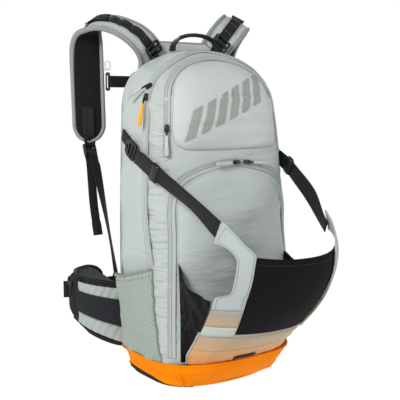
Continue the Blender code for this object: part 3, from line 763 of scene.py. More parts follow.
def stitches(name, path, outs, mat, pitch=STITCH_PITCH):
    """Sewing along a path. Outs are the directions its surface faces, from end to end."""
    points = even_path(path, pitch)
    return beads(name, points, resampled(outs, len(points)), pitch * 0.72, STITCH_WIDTH, STITCH_HEIGHT, mat)


def sewn(name, line, outs, mat, body, slot="shell_fabric", pitch=STITCH_PITCH):
    """Sewing that rides on a body."""
    return place(stitches(name, line, outs, mat, pitch), body, slot)


def bar_tack(name, middle, across, reach, out, mat, pitch=0.0018):
    """A short row of stitches over a strap."""
    line = [middle + across * (reach * (i - 4) / 4) for i in range(9)]
    return stitches(name, line, [out, out], mat, pitch)


def resampled(values, count):
    """As many directions as asked, spread evenly over the given ones."""
    last = len(values) - 1
    found = []
    for i in range(count):
        at = last * i / (count - 1)
        k = min(last - 1, int(at))
        found.append(values[k].lerp(values[k + 1], at - k).normalized())
    return found


def place(piece, body, slot, *stands_for):
    """Rides a piece on a body and hides the nodes it stands for. The slot, a name for its finish, is not
    used.
    """
    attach(piece, body)
    if stands_for:
        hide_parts(*stands_for)
    return piece


def mirrored(points):
    """Points that end on the middle plane, followed by their mirror images."""
    return list(points) + [(-x, z) for x, z in reversed(points[:-1])]


# ---------------------------------------------------------------- frames and moulded parts


def frame_at(origin, along, out):
    """A frame whose Y runs along a direction and whose Z points out of a surface."""
    z = (out - along * out.dot(along) / along.length_squared).normalized()
    y = along.normalized()
    return Matrix.Translation(origin) @ Matrix((y.cross(z), y, z)).transposed().to_4x4()


def raised(at, z):
    """A frame moved along its own Z."""
    return at @ Matrix.Translation((0, 0, z))


def mirror_outline(half):
    """An outline whose right half is given from its first point to its last."""
    return half + [(-x, y) for x, y in reversed(half)]


def rounded_outline(width, height, radius, y=0.0):
    """A rectangle with round corners, its middle on the frame's Y axis."""
    points = []
    for quarter in range(4):
        corner_x = (width / 2 - radius) * (1 if quarter in (0, 3) else -1)
        corner_y = y + (height / 2 - radius) * (1 if quarter < 2 else -1)
        for k in range(6):
            turn = math.radians(90 * (quarter + k / 5))
            points.append((corner_x + radius * math.cos(turn), corner_y + radius * math.sin(turn)))
    return points


def moulding(name, outlines, thickness, at, mat, edge=0.0007):
    """A moulded plate: the first outline is its edge, and the others are holes through it."""
    curve = bpy.data.curves.new(name, "CURVE")
    curve.dimensions = "2D"
    curve.fill_mode = "BOTH"
    curve.extrude = thickness / 2 - edge
    curve.bevel_depth = edge
    curve.bevel_resolution = 2
    curve.offset = -edge
    for outline in outlines:
        spline = curve.splines.new("POLY")
        spline.points.add(len(outline) - 1)
        for point, (x, y) in zip(spline.points, outline):
            point.co = (x, y, 0, 1)
        spline.use_cyclic_u = True
    holder = bpy.data.objects.new(name, curve)
    mesh = bpy.data.meshes.new_from_object(holder)
    bpy.data.objects.remove(holder)
    mesh.transform(at)
    mesh.materials.clear()
    bm = bmesh.new()
    bm.from_mesh(mesh)
    bmesh.ops.remove_doubles(bm, verts=bm.verts, dist=1e-6)
    piece = new_piece(name, bm, mat)
    for polygon in piece.data.polygons:
        polygon.use_smooth = polygon.area < thickness * 0.004
    return piece


LOCK_DEPTH = 0.022
PRONG_SHARE = 0.62  # length of a clip's prongs, as a share of its width


def ladder_lock(name, at, width):
    """A buckle frame with two slots, a ribbed middle bar and a raised lifting edge."""
    outer = rounded_outline(width + 0.009, LOCK_DEPTH, 0.0035)
    slots = [rounded_outline(width + 0.0015, 0.0046, 0.0012, y) for y in (0.0052, -0.0052)]
    parts = [moulding(name, [outer] + slots, 0.0048, at, BLACK_PLASTIC, 0.0009)]
    for y, radius in ((0.0, 0.0016), (-0.0092, 0.0019), (0.0094, 0.0015)):
        bar = [at @ Vector((x * (width / 2 + 0.002), y, 0.0016)) for x in (-1, -0.5, 0, 0.5, 1)]
        parts.append(tube(f"{name}_bar", bar, radius, BLACK_PLASTIC))
    return joined(name, parts)


def clip_socket(name, tip, toward, width):
    """The socket half of a side release buckle. Tip is the middle of its mouth."""
    length = width * 1.2
    at = frame_at(tip - toward * length / 2, toward, Vector((0, 1, 0)))
    half = width / 2
    waist = half - 0.0032
    side = [(half, length / 2), (half, length * 0.30), (waist, length * 0.18), (waist, -length * 0.10)]
    side += [(half, -length * 0.22), (half, -length / 2 + 0.002), (half - 0.002, -length / 2)]
    outline = mirror_outline(side)
    slot = rounded_outline(width - 0.008, 0.0032, 0.001, -length * 0.38)
    parts = []
    for z in (0.0030, -0.0030):
        parts.append(moulding(name, [outline, slot], 0.0024, raised(at, z), BLACK_PLASTIC))
    block = [(x * 0.96, min(y, length * 0.02)) for x, y in outline]
    parts.append(moulding(name, [block, slot], 0.0042, at, BLACK_PLASTIC))
    return joined(name, parts)


def clip_prongs(name, tip, toward, width):
    """The half with two sprung prongs, a middle guide and a webbing bar."""
    prong = width * PRONG_SHARE
    half = (width - 0.009) / 2
    at = frame_at(tip, toward, Vector((0, 1, 0)))
    left = [(-half + 0.0006, 0), (-half + 0.0030, -0.0010), (-half + 0.0028, -prong * 0.8)]
    guide = [(-0.0016, -prong * 0.84), (-0.0012, -0.003), (0.0012, -0.003), (0.0016, -prong * 0.84)]
    right = [(-x, y) for x, y in reversed(left)]
    foot = [(half + 0.0012, -prong * 0.45), (half - 0.0002, -prong), (width / 2, -prong)]
    foot += [(width / 2, -prong - 0.0125), (width / 2 - 0.002, -prong - 0.0140)]
    base = mirror_outline(foot)
    slot = rounded_outline(width - 0.008, 0.0034, 0.001, -prong - 0.0088)
    flat = moulding(name, [left + guide + right + base, slot], 0.0034, at, BLACK_PLASTIC)
    ridge = [at @ Vector((x * width * 0.4, -prong - 0.0030, 0.0018)) for x in (-1, 0, 1)]
    return joined(name, [flat, tube(f"{name}_ridge", ridge, 0.0011, BLACK_PLASTIC)])


def strap(name, path, sides, width, thickness=0.0017):
    """Webbing along a path."""
    return sweep(name, path, sides, webbing_profile(width, thickness), WEBBING_CLOTH)


def straight_band(name, x_from, x_to, y, z, width):
    """Level webbing between two X positions, its width upright."""
    path = [Vector((x_from + (x_to - x_from) * k / 8, y, z)) for k in range(9)]
    return strap(name, path, [Vector((0, 0, 1))] * 9, width)


def make_clip(label, left_body, mouth_x, tip_x, spans, y, z, width, webbing):
    """A side release clip: the socket and its webbing at the left, the prongs and theirs at the right."""
    left_span, right_end = spans
    right_start = tip_x + width * PRONG_SHARE + 0.0105
    socket = clip_socket(f"{label}_socket", Vector((mouth_x, y, z)), Vector((1, 0, 0)), width)
    place(socket, left_body, "black_plastic", f"{label}_clip_socket")
    band = straight_band(f"{label}_band_left", *left_span, y, z, webbing)
    place(band, left_body, "black_fabric", f"{label}_webbing_left")
    prongs = clip_prongs(f"{label}_prongs", Vector((tip_x, y, z)), Vector((-1, 0, 0)), width)
    place(prongs, f"{label}_clip", "black_plastic", f"{label}_clip_prongs")
    band = straight_band(f"{label}_band_right", right_start, right_end, y, z, webbing)
    place(band, f"{label}_clip", "black_fabric", f"{label}_webbing_right")


def pillow(name, outline_point, around, rings, mat):
    """A closed crowned form: outline_point(turn share, how far in, side of it) gives its skin."""
    rows = []
    for k in range(-rings, rings + 1):
        face = 1 if k >= 0 else -1
        rows.append([outline_point(i / around, abs(k) / rings, face) for i in range(around)])
    piece = surface(name, rows[::-1], mat, ring=True)
    close_ends(piece, around, len(rows))
    return piece


CLOTH_PRESSURE = 4.0
CLOTH_STEPS = 20


def inflate(piece, voxel, limit):
    """Swells a closed form as filled fabric, no point moving more than the limit."""
    mesh = piece.data
    remesh = piece.modifiers.new("even", "REMESH")
    remesh.mode = "VOXEL"
    remesh.voxel_size = voxel
    bake(piece)
    before = [v.co.copy() for v in piece.data.vertices]
    cloth = piece.modifiers.new("fabric", "CLOTH")
    cloth.settings.use_pressure = True
    cloth.settings.uniform_pressure_force = CLOTH_PRESSURE
    cloth.settings.effector_weights.gravity = 0.0
    cloth.settings.quality = 5
    scene = bpy.context.scene
    for step in range(1, CLOTH_STEPS + 1):
        scene.frame_set(step)
    bake(piece)
    scene.frame_set(1)
    for vertex, start in zip(piece.data.vertices, before):
        move = vertex.co - start
        if move.length > limit:
            vertex.co = start + move * (limit / move.length)
    piece.modifiers.new("finer", "SUBSURF").levels = 1
    bake(piece)
    bpy.data.meshes.remove(mesh)
    smooth_faces(piece)


def bake(piece):
    """Applies the modifiers of a piece to its mesh."""
    evaluated = piece.evaluated_get(bpy.context.evaluated_depsgraph_get())
    mesh = bpy.data.meshes.new_from_object(evaluated)
    piece.modifiers.clear()
    piece.data = mesh


def cut_size(rows):
    """The flat size of a sheet through rows of points: its longest row by its longest column."""
    def run(points):
        return sum((b - a).length for a, b in zip(points, points[1:]))

    widths = [run(row) for row in rows]
    columns = [run([row[i] for row in rows]) for i in range(len(rows[0]))]
    return max(widths), max(columns)


def cut_area(rows):
    """The area of a sheet through rows of points."""
    total = 0.0
    for a, b in zip(rows, rows[1:]):
        for i in range(len(a) - 1):
            total += ((a[i + 1] - a[i]).cross(b[i] - a[i])).length / 2
            total += ((a[i + 1] - b[i + 1]).cross(b[i] - b[i + 1])).length / 2
    return total


def declare_sheet(rows):
    """Works out the size a sheet is cut to, the size of its shape at rest, and its area; nothing is done with
    them.
    """
    flat = cut_size(rows)
    area = min(cut_area(rows), flat[0] * flat[1])


# ---------------------------------------------------------------- camera, light and floor

CAMERA_AZIMUTH = -35.16
CAMERA_DISTANCE = 1.375
CAMERA_HEIGHT = 0.4627
CAMERA_PITCH = 6.85
CAMERA_YAW = 0.21
CAMERA_LENS = 72.5
# name, place, the point it is aimed at, diameter, power
LIGHTS = (
    ("key", (-1.9, -1.0, 1.5), (0, 0, 0.25), 0.8, 46),
    ("fill", (1.6, -1.6, 1.0), (0, 0, 0.3), 1.4, 7),
    ("back", (0.6, 1.8, 1.6), (0, 0, 0.4), 1.2, 16),
)


def make_camera():
    """A long lens at the height of the bag's upper part, from its front left."""
    data = bpy.data.cameras.new("camera")
    data.lens = CAMERA_LENS
    data.sensor_width = 36
    camera = bpy.data.objects.new("camera", data)
    bpy.context.scene.collection.objects.link(camera)
    turn = math.radians(CAMERA_AZIMUTH)
    camera.location = (CAMERA_DISTANCE * math.sin(turn), -CAMERA_DISTANCE * math.cos(turn), CAMERA_HEIGHT)
    camera.rotation_euler = (math.radians(90 - CAMERA_PITCH), 0, turn + math.radians(CAMERA_YAW))
    bpy.context.scene.camera = camera


def make_light(name, at, aim, size, power):
    """A round soft light."""
    data = bpy.data.lights.new(name, "AREA")
    data.shape = "DISK"
    data.size = size
    data.energy = power
    light = bpy.data.objects.new(name, data)
    bpy.context.scene.collection.objects.link(light)
    light.location = at
    light.rotation_euler = (Vector(aim) - Vector(at)).to_track_quat("-Z", "Y").to_euler()


def make_studio():
    """A white surround near the horizon, softer above, with three large soft lights."""
    world = bpy.data.worlds.new("studio")
    bpy.context.scene.world = world
    world.use_nodes = True
    tree = world.node_tree
    coordinates = tree.nodes.new("ShaderNodeTexCoord")
    parts = tree.nodes.new("ShaderNodeSeparateXYZ")
    ramp = tree.nodes.new("ShaderNodeValToRGB")
    tree.links.new(coordinates.outputs["Generated"], parts.inputs[0])
    tree.links.new(parts.outputs[2], ramp.inputs[0])
    tree.links.new(ramp.outputs[0], tree.nodes["Background"].inputs["Color"])
    ramp.color_ramp.elements[0].position = 0.22
    ramp.color_ramp.elements[0].color = (1, 1, 1, 1)
    ramp.color_ramp.elements[1].position = 0.50
    ramp.color_ramp.elements[1].color = (0.30, 0.30, 0.31, 1)
    for light in LIGHTS:
        make_light(*light)
    bm = bmesh.new()
    bmesh.ops.create_circle(bm, cap_ends=True, segments=64, radius=6.0)
    floor = new_piece("floor", bm, make_floor_finish())
    floor.location.z = CAD_BOX[0][2] - 0.0005
    bpy.context.scene.view_settings.view_transform = "Standard"


# ---------------------------------------------------------------- bag shell and boot

SHELL_TURNS = 200
SHELL_FOOT = 0.0485
BOOT_FOOT, BOOT_TOP = BOOT[0][0], BOOT[-1][0]
BOOT_TUCK_BELOW = 0.046  # here the boot begins to narrow towards the ground
BOOT_TUCK_SIDES, BOOT_TUCK_BACK = 0.014, 0.020


def make_bag_shell():
    """The wrinkled cloth of the front, the sides and the domed top."""
    heights = [SHELL_FOOT + (SHOULDER_Z - SHELL_FOOT) * k / 72 for k in range(73)]
    rise = HEIGHT - SHOULDER_Z
    heights += [SHOULDER_Z + rise * math.sin(math.radians(90 * k / 24)) for k in range(1, 24)]
    rows = []
    for z in heights:
        section = body_section(z)
        row = []
        for k in range(SHELL_TURNS):
            turn = 360 * k / SHELL_TURNS
            row.append(skin(ring_point(section, turn, FRONT_SQUARENESS, BACK_SQUARENESS, z)))
        rows.append(row)
    rows.append([Vector((0, DOME_LEAN, HEIGHT))] * SHELL_TURNS)
    shell = surface("bag_shell", rows, GREY_CLOTH, ring=True)
    weld(shell)
    place(shell, "pack", "shell_fabric", "main_shell")


def boot_point(turn, z, lift=0.0):
    """A point of the boot's skin, which always covers the bag's plain shape."""
    half_width, front, back = between(BOOT, z)
    tuck = (1 - min(1, z / BOOT_TUCK_BELOW)) ** 1.4
    half_width, back = half_width - BOOT_TUCK_SIDES * tuck, back - BOOT_TUCK_BACK * tuck
    section = (half_width + lift, (front + back) / 2, (back - front) / 2 + lift)
    p = ring_point(section, turn, BOOT_SQUARENESS, BACK_SQUARENESS * 0.6, z)
    sag = 0.0022 * noise.noise(p * 16) + 0.0012 * noise.noise(Vector((p.x * 20, p.y * 20, p.z * 70)))
    out = Vector((p.x, p.y + 0.02, 0)).normalized()
    p = p + out * (sag * min(1, z / 0.02) + 0.0018 * min(1, z / 0.045) ** 2)
    cover = -0.010 + 0.0128 * min(1, z / BOOT_TOP) ** 4
    for _ in range(40):
        if body_level(p - out * (cover + lift)) >= 1:
            break
        p = p + out * 0.0003
    return p


def boot_ring(z, lift=0.0, count=160):
    """Points round the boot at a height."""
    return [boot_point(360 * i / count, z, lift) for i in range(count)]


def make_boot():
    """The boot's skin with its raised rim and corner seam, and the black guard and foot below."""
    rows = [boot_ring(BOOT_FOOT + (BOOT_TOP - BOOT_FOOT) * (k / 14) ** 0.8) for k in range(15)]
    rows.append(boot_ring(0.0505, -0.003))
    place(surface("boot_skin", rows, BOOT_CLOTH, ring=True), "pack", "boot_fabric", "base_boot")
    rows = []
    for i in range(61):
        turn = -175 + 140 * i / 60
        high = 0.0040 + 0.0170 * math.sin(math.pi * min(1.0, 0.15 + i / 60)) ** 0.7
        rows.append([boot_point(turn, 0.0025 + (high - 0.0025) * k / 4, 0.0009) for k in range(5)])
    guard = surface("boot_guard", rows, DARK_CLOTH, thickness=0.0012, offset=0)
    place(guard, "pack", "black_fabric")
    rows = []
    for lift, z in ((-0.08, 0.0004), (-0.04, 0.0003), (-0.004, 0.0006), (0.001, 0.0045)):
        rows.append([Vector((p.x, p.y, z)) for p in boot_ring(BOOT_FOOT, lift, 120)])
    place(surface("boot_foot", rows, DARK_CLOTH, ring=True), "pack", "black_fabric", "base_pad")
    rim = boot_ring(BOOT_TOP, 0.0004)
    place(tube("boot_seam", rim + rim[:1], 0.0013, BOOT_CLOTH), "pack", "boot_fabric")
    corner = [boot_point(turn, z, 0.0006) for turn, z in ((-52, 0.0480), (-50, 0.030), (-47, 0.008))]
    fold = tube("boot_corner_seam", smooth_path(corner, 20), 0.0011, BOOT_CLOTH)
    place(fold, "pack", "boot_fabric")


# ---------------------------------------------------------------- zips and panels on the bag

ZIP_PROFILE = (
    (-0.0070, 0.0000), (-0.0068, 0.0016), (-0.0054, 0.0018), (-0.0047, 0.0010), (-0.0014, 0.0016),
    (-0.0003, 0.0013), (0.0, 0.0002), (0.0003, 0.0013), (0.0014, 0.0016), (0.0047, 0.0010),
    (0.0054, 0.0018), (0.0068, 0.0016), (0.0070, 0.0000),
)
ZIP_SEWING = 0.0060


def main_zip_path():
    """Fabric points up the left side, over the top and down the right side."""
    halves = []
    for side in (-1, 1):
        half = [side_point(side, y, z) for y, z in MAIN_ZIP_SIDE]
        halves.append(half + [top_point(side * x, y) for x, y in MAIN_ZIP_TOP])
    return halves[0] + [top_point(0, 0)] + halves[1][::-1]


def over_bag(points, count, spacing):
    """A line over the bag, with the ways out of the bag and across the line at its points."""
    path = even_path(smooth_path(points, count), spacing)
    outs = [body_normal(p) for p in path]
    sides = [out.cross(heading(path, i)).normalized() for i, out in enumerate(outs)]
    return path, outs, sides


def make_zip(name, points, node, share=1.0):
    """Tape, coil groove and the two rows of stitching of a zip that runs over the bag."""
    path, outs, sides = over_bag(points, 160, 0.006)
    profile = [(a * share, o) for a, o in ZIP_PROFILE]
    tape = sweep(f"{name}_tape", path, sides, profile, TAPE_CLOTH, caps=False)
    place(tape, "pack", "shell_fabric", node)
    coil = [p + o * 0.0011 for p, o in zip(path, outs)]
    sewn(f"{name}_coil", coil, outs, DARK_THREAD, "pack", pitch=COIL_PITCH)
    for offset, label in ((-ZIP_SEWING * share, "a"), (ZIP_SEWING * share, "b")):
        line = [p + s * offset + o * 0.0019 for p, s, o in zip(path, sides, outs)]
        sewn(f"{name}_sewing_{label}", line, outs, GREY_THREAD, "pack")


def make_zips():
    """The long zip over the top and the two arched zips on the front."""
    pocket = [front_point(x, z) for x, z in mirrored(POCKET_ZIP_LEFT)]
    front = [front_point(x, z) for x, z in mirrored(FRONT_ZIP_LEFT)]
    make_zip("main_zip", main_zip_path(), "main_zip")
    make_zip("pocket_zip", pocket, "pocket_zip", 0.75)
    make_zip("front_zip", front, "front_zip")


def make_slider(name, origin, along, pull_length, pull_mat, pull_slot):
    """A shield shaped slider with its bridge, and a cord and moulded tip that hang from it."""
    out = body_normal(origin)
    at = frame_at(origin + out * SLIDER_LIFT, along - out * along.dot(out), out)
    shield = mirror_outline([(0.0040, 0.0055), (0.0040, 0.0), (0.0026, -0.0058)])
    parts = []
    for z in (-0.0016, 0.0004):
        parts.append(moulding(name, [shield], 0.0013, raised(at, z), ZIP_METAL, 0.0004))
    bridge = []
    for k in range(9):
        turn = math.radians(180 * k / 8)
        bridge.append(at @ Vector((0, 0.0042 * math.cos(turn), 0.0008 + 0.0022 * math.sin(turn))))
    parts.append(tube(f"{name}_bridge", bridge, 0.0008, ZIP_METAL))
    place(joined(f"{name}_body", parts), f"{name}_slider", "black_plastic", f"{name}_slider")
    cord = []
    for x in (-1, 1):
        for k in range(7):
            t = k / 6 if x < 0 else 1 - k / 6
            bow = 0.0014 * math.sin(math.pi * min(1, 0.25 + t))
            cord.append(at @ Vector((x * bow, 0.004 + 0.010 * t, 0.0026)))
    loop = tube(f"{name}_cord", cord, 0.0008, WEBBING_CLOTH)
    start, end = 0.0120, 0.0080 + pull_length
    edge = [(0.0016, start), (0.0022, start + 0.004), (0.0024, start + (end - start) * 0.45)]
    edge += [(0.0032, start + (end - start) * 0.62), (0.0034, end - 0.003)]
    edge += [(0.0024, end - 0.0006), (0.0008, end)]
    tip = moulding(f"{name}_tip", [mirror_outline(edge)], 0.0032, raised(at, 0.0026), pull_mat)
    ribs = []
    for k in range(4):
        line = [at @ Vector((x * 0.0024, end - 0.0045 - 0.0030 * k, 0.0044)) for x in (-1, 0, 1)]
        ribs.append(tube(f"{name}_rib", line, 0.0005, pull_mat, 6))
    place(joined(f"{name}_pull", [tip, loop] + ribs), f"{name}_puller", pull_slot, f"{name}_puller")


def plain(p):
    """A point of the fabric moved back to the bag's plain shape."""
    return p - body_normal(p) * dent(p)


def make_sliders():
    """Five sliders with their pullers, where the CAD model has them."""
    down = Vector((0, 0, -1))
    orange, grey = (PULL_ORANGE, "pull_orange"), (PULL_GREY, "pull_grey")
    sliders = (
        ("main_zip_lower", side_point(-1, -0.0243, 0.4715), down, 0.040, orange),
        ("main_zip_upper", side_point(-1, -0.0232, 0.4880), Vector((0, 0.8, -0.6)), 0.034, grey),
        ("pocket_zip", front_point(-0.1100, 0.4235), down, 0.036, grey),
        ("front_zip_left", front_point(0.0070, 0.3668), Vector((-1, 0, -0.04)), 0.036, grey),
        ("front_zip_right", front_point(0.0270, 0.3665), Vector((1, 0, -0.10)), 0.036, grey),
    )
    for name, point, along, length, finish in sliders:
        make_slider(name, plain(point), along, length, *finish)


def make_patch(name, outline, centre, crown, mat, steepness=3.5, rings=16, folds=0.0):
    """A swollen panel on the bag's front, inside an outline of (x, z) points."""
    rows = []
    ring = smooth_path([(x, z, 0) for x, z in outline], 110)
    for k in range(rings + 1):
        share = 1 - (1 - k / rings) ** 1.5
        lift = crown * (1 - share**steepness) + 0.0006
        row = []
        for q in ring:
            x = centre[0] + (q.x - centre[0]) * share
            z = centre[1] + (q.y - centre[1]) * share
            fold = folds * noise.noise(Vector((x * 18, z * 55, 5.0))) * (1 - share**6)
            row.append(front_point(x, z, lift + fold if k < rings else -0.001))
        rows.append(row)
    panel = surface(name, rows, mat)
    layer = panel.data.uv_layers[0].data
    for loop in panel.data.loops:
        p = panel.data.vertices[loop.vertex_index].co
        layer[loop.index].uv = (p.x, p.z)
    weld(panel)
    return panel


PANEL_CENTRE = (0.0, 0.455)
PANEL_CROWN = 0.0125
PANEL_STEEPNESS = 6.0
PANEL_DIRECTIONS = 120
PANEL_LEFT = (
    (0.0, 0.3875), (-0.060, 0.3880), (-0.088, 0.3905), (-0.100, 0.3990), (-0.1045, 0.4130),
    (-0.1035, 0.4350), (-0.0985, 0.4720), (-0.085, 0.5020), (-0.060, 0.5205), (-0.030, 0.5295),
    (0.0, 0.5320),
)
PANEL_OUTLINE = mirrored(PANEL_LEFT)
BARS = 6
BAR_START, BAR_STEP = (-0.088, 0.401), (0.0262, 0.0108)
BAR_WIDE, BAR_HIGH = (0.016, 0.007), (0.015, 0.048)
COMPARTMENT_LEFT = (
    (-0.1050, 0.062), (-0.1065, 0.122), (-0.1065, 0.187), (-0.1050, 0.250), (-0.1040, 0.286),
    (-0.1010, 0.306), (-0.0940, 0.3240), (-0.0790, 0.3375), (-0.0510, 0.3480), (-0.0190, 0.3545),
    (0.0, 0.3560),
)


def panel_radii():
    """The outline's distance from the panel's middle in evenly spaced directions."""
    radii = [0.0] * PANEL_DIRECTIONS
    for q in smooth_path([(x, z, 0) for x, z in PANEL_OUTLINE], 3000):
        x, z = q.x - PANEL_CENTRE[0], q.y - PANEL_CENTRE[1]
        k = math.floor(math.atan2(z, x) / math.tau * PANEL_DIRECTIONS)
        radii[k % PANEL_DIRECTIONS] = math.hypot(x, z)
    return radii


PANEL_RADII = panel_radii()


def panel_point(x, z, lift):
    """A point lifted off the swollen panel's cloth."""
    across, up = x - PANEL_CENTRE[0], z - PANEL_CENTRE[1]
    at = math.atan2(up, across) / math.tau * PANEL_DIRECTIONS
    k = math.floor(at)
    low, high = PANEL_RADII[k % PANEL_DIRECTIONS], PANEL_RADII[(k + 1) % PANEL_DIRECTIONS]
    share = min(1.0, math.hypot(across, up) / (low + (high - low) * (at - k)))
    return front_point(x, z, PANEL_CROWN * (1 - share**PANEL_STEEPNESS) + lift)


def make_bar(k):
    """One thin printed slanted bar of the plain pattern on the front panel."""
    x, z = BAR_START[0] + BAR_STEP[0] * k, BAR_START[1] + BAR_STEP[1] * k

    def point(s, t):
        across, up = BAR_WIDE[0] * s + BAR_HIGH[0] * t, BAR_WIDE[1] * s + BAR_HIGH[1] * t
        return panel_point(x + across, z + up, 0.0015)

    place(surface(f"front_bar_{k}", grid_of(point, 8, 8), MARK_PRINT), "pack", "shell_fabric")


def make_front_panel():
    """The ripstop front pocket, its edge stitching and a plain pattern of slanted bars."""
    panel = make_patch(
        "front_pocket_panel", PANEL_OUTLINE, PANEL_CENTRE, PANEL_CROWN, FRONT_RIPSTOP, PANEL_STEEPNESS, 28
    )
    place(panel, "pack", "shell_fabric")
    middle_x, middle_z = PANEL_CENTRE
    edge = []
    for q in smooth_path([(x, z, 0) for x, z in PANEL_OUTLINE], 200):
        x, z = middle_x + (q.x - middle_x) * 0.985, middle_z + (q.y - middle_z) * 0.98
        edge.append(front_point(x, z, 0.0024))
    sewn("front_pocket_sewing", edge, [body_normal(p) for p in edge], GREY_THREAD, "pack")
    for k in range(BARS):
        make_bar(k)


def make_front_compartment_panel():
    """The swollen face of the front compartment, inside its arched zip."""
    outline = mirrored(COMPARTMENT_LEFT)
    outline += [(0.070, 0.052), (0.0, 0.052), (-0.070, 0.052), outline[0]]
    panel = make_patch("front_compartment_panel", outline, (0, 0.19), 0.0075, GREY_CLOTH, 5.0, folds=0.0030)
    place(panel, "pack", "shell_fabric")


def make_seam(name, points):
    """A raised seam with stitches on it, over the bag."""
    path, outs, sides = over_bag(points, 80, 0.005)
    piece = sweep(name, path, sides, oval(0.0056, 0.0022, 10), TAPE_CLOTH, caps=False)
    place(piece, "pack", "shell_fabric")
    line = [p + o * 0.0012 for p, o in zip(path, outs)]
    sewn(f"{name}_sewing", line, outs, GREY_THREAD, "pack")


def make_seams():
    """The seams where the side panels meet the back."""
    for side, name in SIDES:
        back = [side_point(side, 0.0600, 0.060 + 0.395 * k / 9, 0.0006) for k in range(10)]
        make_seam(f"back_seam_{name}", back)


# ---------------------------------------------------------------- side pockets

POCKET_BACK_Y = 0.058
POCKET_FOOT = 0.0490


def pocket_point(side, across, up, lift=0.0):
    """Across runs from the back edge to the front edge, up from the boot to the opening."""
    front_y = -0.064 + 0.018 * up
    y = POCKET_BACK_Y + (front_y - POCKET_BACK_Y) * across
    top = 0.1745 + 0.025 * across**1.5
    z = POCKET_FOOT + (top - POCKET_FOOT) * up
    arch = math.sin(math.pi * across)
    bulge = 0.0004 + 0.0023 * min(1, up * 4) + 0.016 * arch**0.7 * up**0.8
    bulge += 0.007 * max(0.0, 1 - across / 0.22) * up**3
    gather = 0.0016 * math.sin(across * 62 + 2 * noise.noise(Vector((across * 6, up * 2, 4)))) * up**5
    folds = noise.noise(Vector((across * 3.2, up * 2.2 + across * 2.4, side * 4.0)))
    return side_point(side, y, z, bulge + gather + 0.0045 * folds * arch * up + lift)


def make_pocket(side, name):
    """A stretch mesh pocket with a gathered elastic edge and bound front and back seams."""
    rows = grid_of(lambda across, up: pocket_point(side, across, up), 60, 30)
    piece = surface(f"pocket_{name}", rows, POCKET_MESH, thickness=0.0010, offset=0)
    place(piece, "pack", "shell_fabric", f"side_pocket_{name}")
    edge = even_path([pocket_point(side, i / 120, 1.0, 0.0004) for i in range(121)], 0.0022)
    hem = tube(f"pocket_hem_{name}", edge, 0.0022, GREY_BINDING)
    place(hem, "pack", "shell_fabric")
    low = [pocket_point(side, i / 60, 0.93, 0.0012) for i in range(61)]
    sewing = sewn(f"pocket_sewing_{name}", low, [Vector((side, 0, 0))] * 2, GREY_THREAD, "pack")
    for across, label in ((0.0, "back"), (1.0, "front")):
        line = [pocket_point(side, across, k / 30, -0.0006) for k in range(31)]
        place(tube(f"pocket_seam_{label}_{name}", line, 0.0020, GREY_BINDING), "pack", "shell_fabric")
    declare_sheet(rows)


# ---------------------------------------------------------------- helmet carrier


LOWER_PANEL = (0.0505, 0.1135)  # heights of its lower and upper edge
GUSSET_WRINKLE, GUSSET_CRUMPLE = 0.0075, 0.0030


def flap_edge(z):
    """How far round the lower panel reaches at a height, in degrees."""
    return between(FLAP_EDGE, z)[0]


def lower_panel_point(share, z, lift=0.0):
    """Share runs from the lower panel's left edge to its right edge."""
    edge = flap_edge(z)
    turn = -edge + 2 * edge * share
    fold = 0.0030 * noise.noise(Vector((turn * 0.030, z * 75, 3.0)))
    fold += 0.0016 * noise.noise(Vector((turn * 0.09, z * 30, 8.0)))
    return flap_point(turn, z, lift + fold)


def make_lower_panel():
    """The faded cloth that wraps the carrier's foot, its bound edges and its seams."""
    low, high = LOWER_PANEL
    heights = [low + (high - low) * k / 26 for k in range(27)]
    rows = [[lower_panel_point(i / 90, z) for i in range(91)] for z in heights]
    panel = surface("carrier_lower_panel", rows, FADED_RIPSTOP, thickness=0.0016)
    place(panel, "carrier", "shell_fabric", "flap_lower_panel")
    for share, label in ((0.0, "left"), (1.0, "right")):
        edge = [lower_panel_point(share, z, 0.0006) for z in heights]
        place(tube(f"carrier_edge_{label}", edge, 0.0016, LAMINATE), "carrier", "shell_fabric")
    for z, label in ((0.0800, "low"), (0.1085, "high")):
        reach = flap_edge(z)
        line = [lower_panel_point(i / 90, z, 0.0006) for i in range(2, 89)]
        outs = [flap_out(-reach + 2 * reach * i / 90, z)[1] for i in range(2, 89)]
        sewn(f"carrier_sewing_{label}", line, outs, GREY_THREAD, "carrier")

    def tag_point(across, up):
        return flap_point(-16 + 20 * across, 0.0535 + 0.0065 * up + 0.0010 * across, 0.0042)

    tag = surface("carrier_tag", grid_of(tag_point, 12, 3), WEBBING_CLOTH, thickness=0.0012)
    place(tag, "carrier", "black_fabric")
    declare_sheet(rows)


STRETCH_EDGE = 35.2  # how far round the stretch panel reaches, in degrees
STRETCH_LOW = 0.1125


def stretch_top(turn):
    """Height of the stretch panel's dipping top edge."""
    return 0.2375 + 0.005 * (turn / 33.0) ** 2


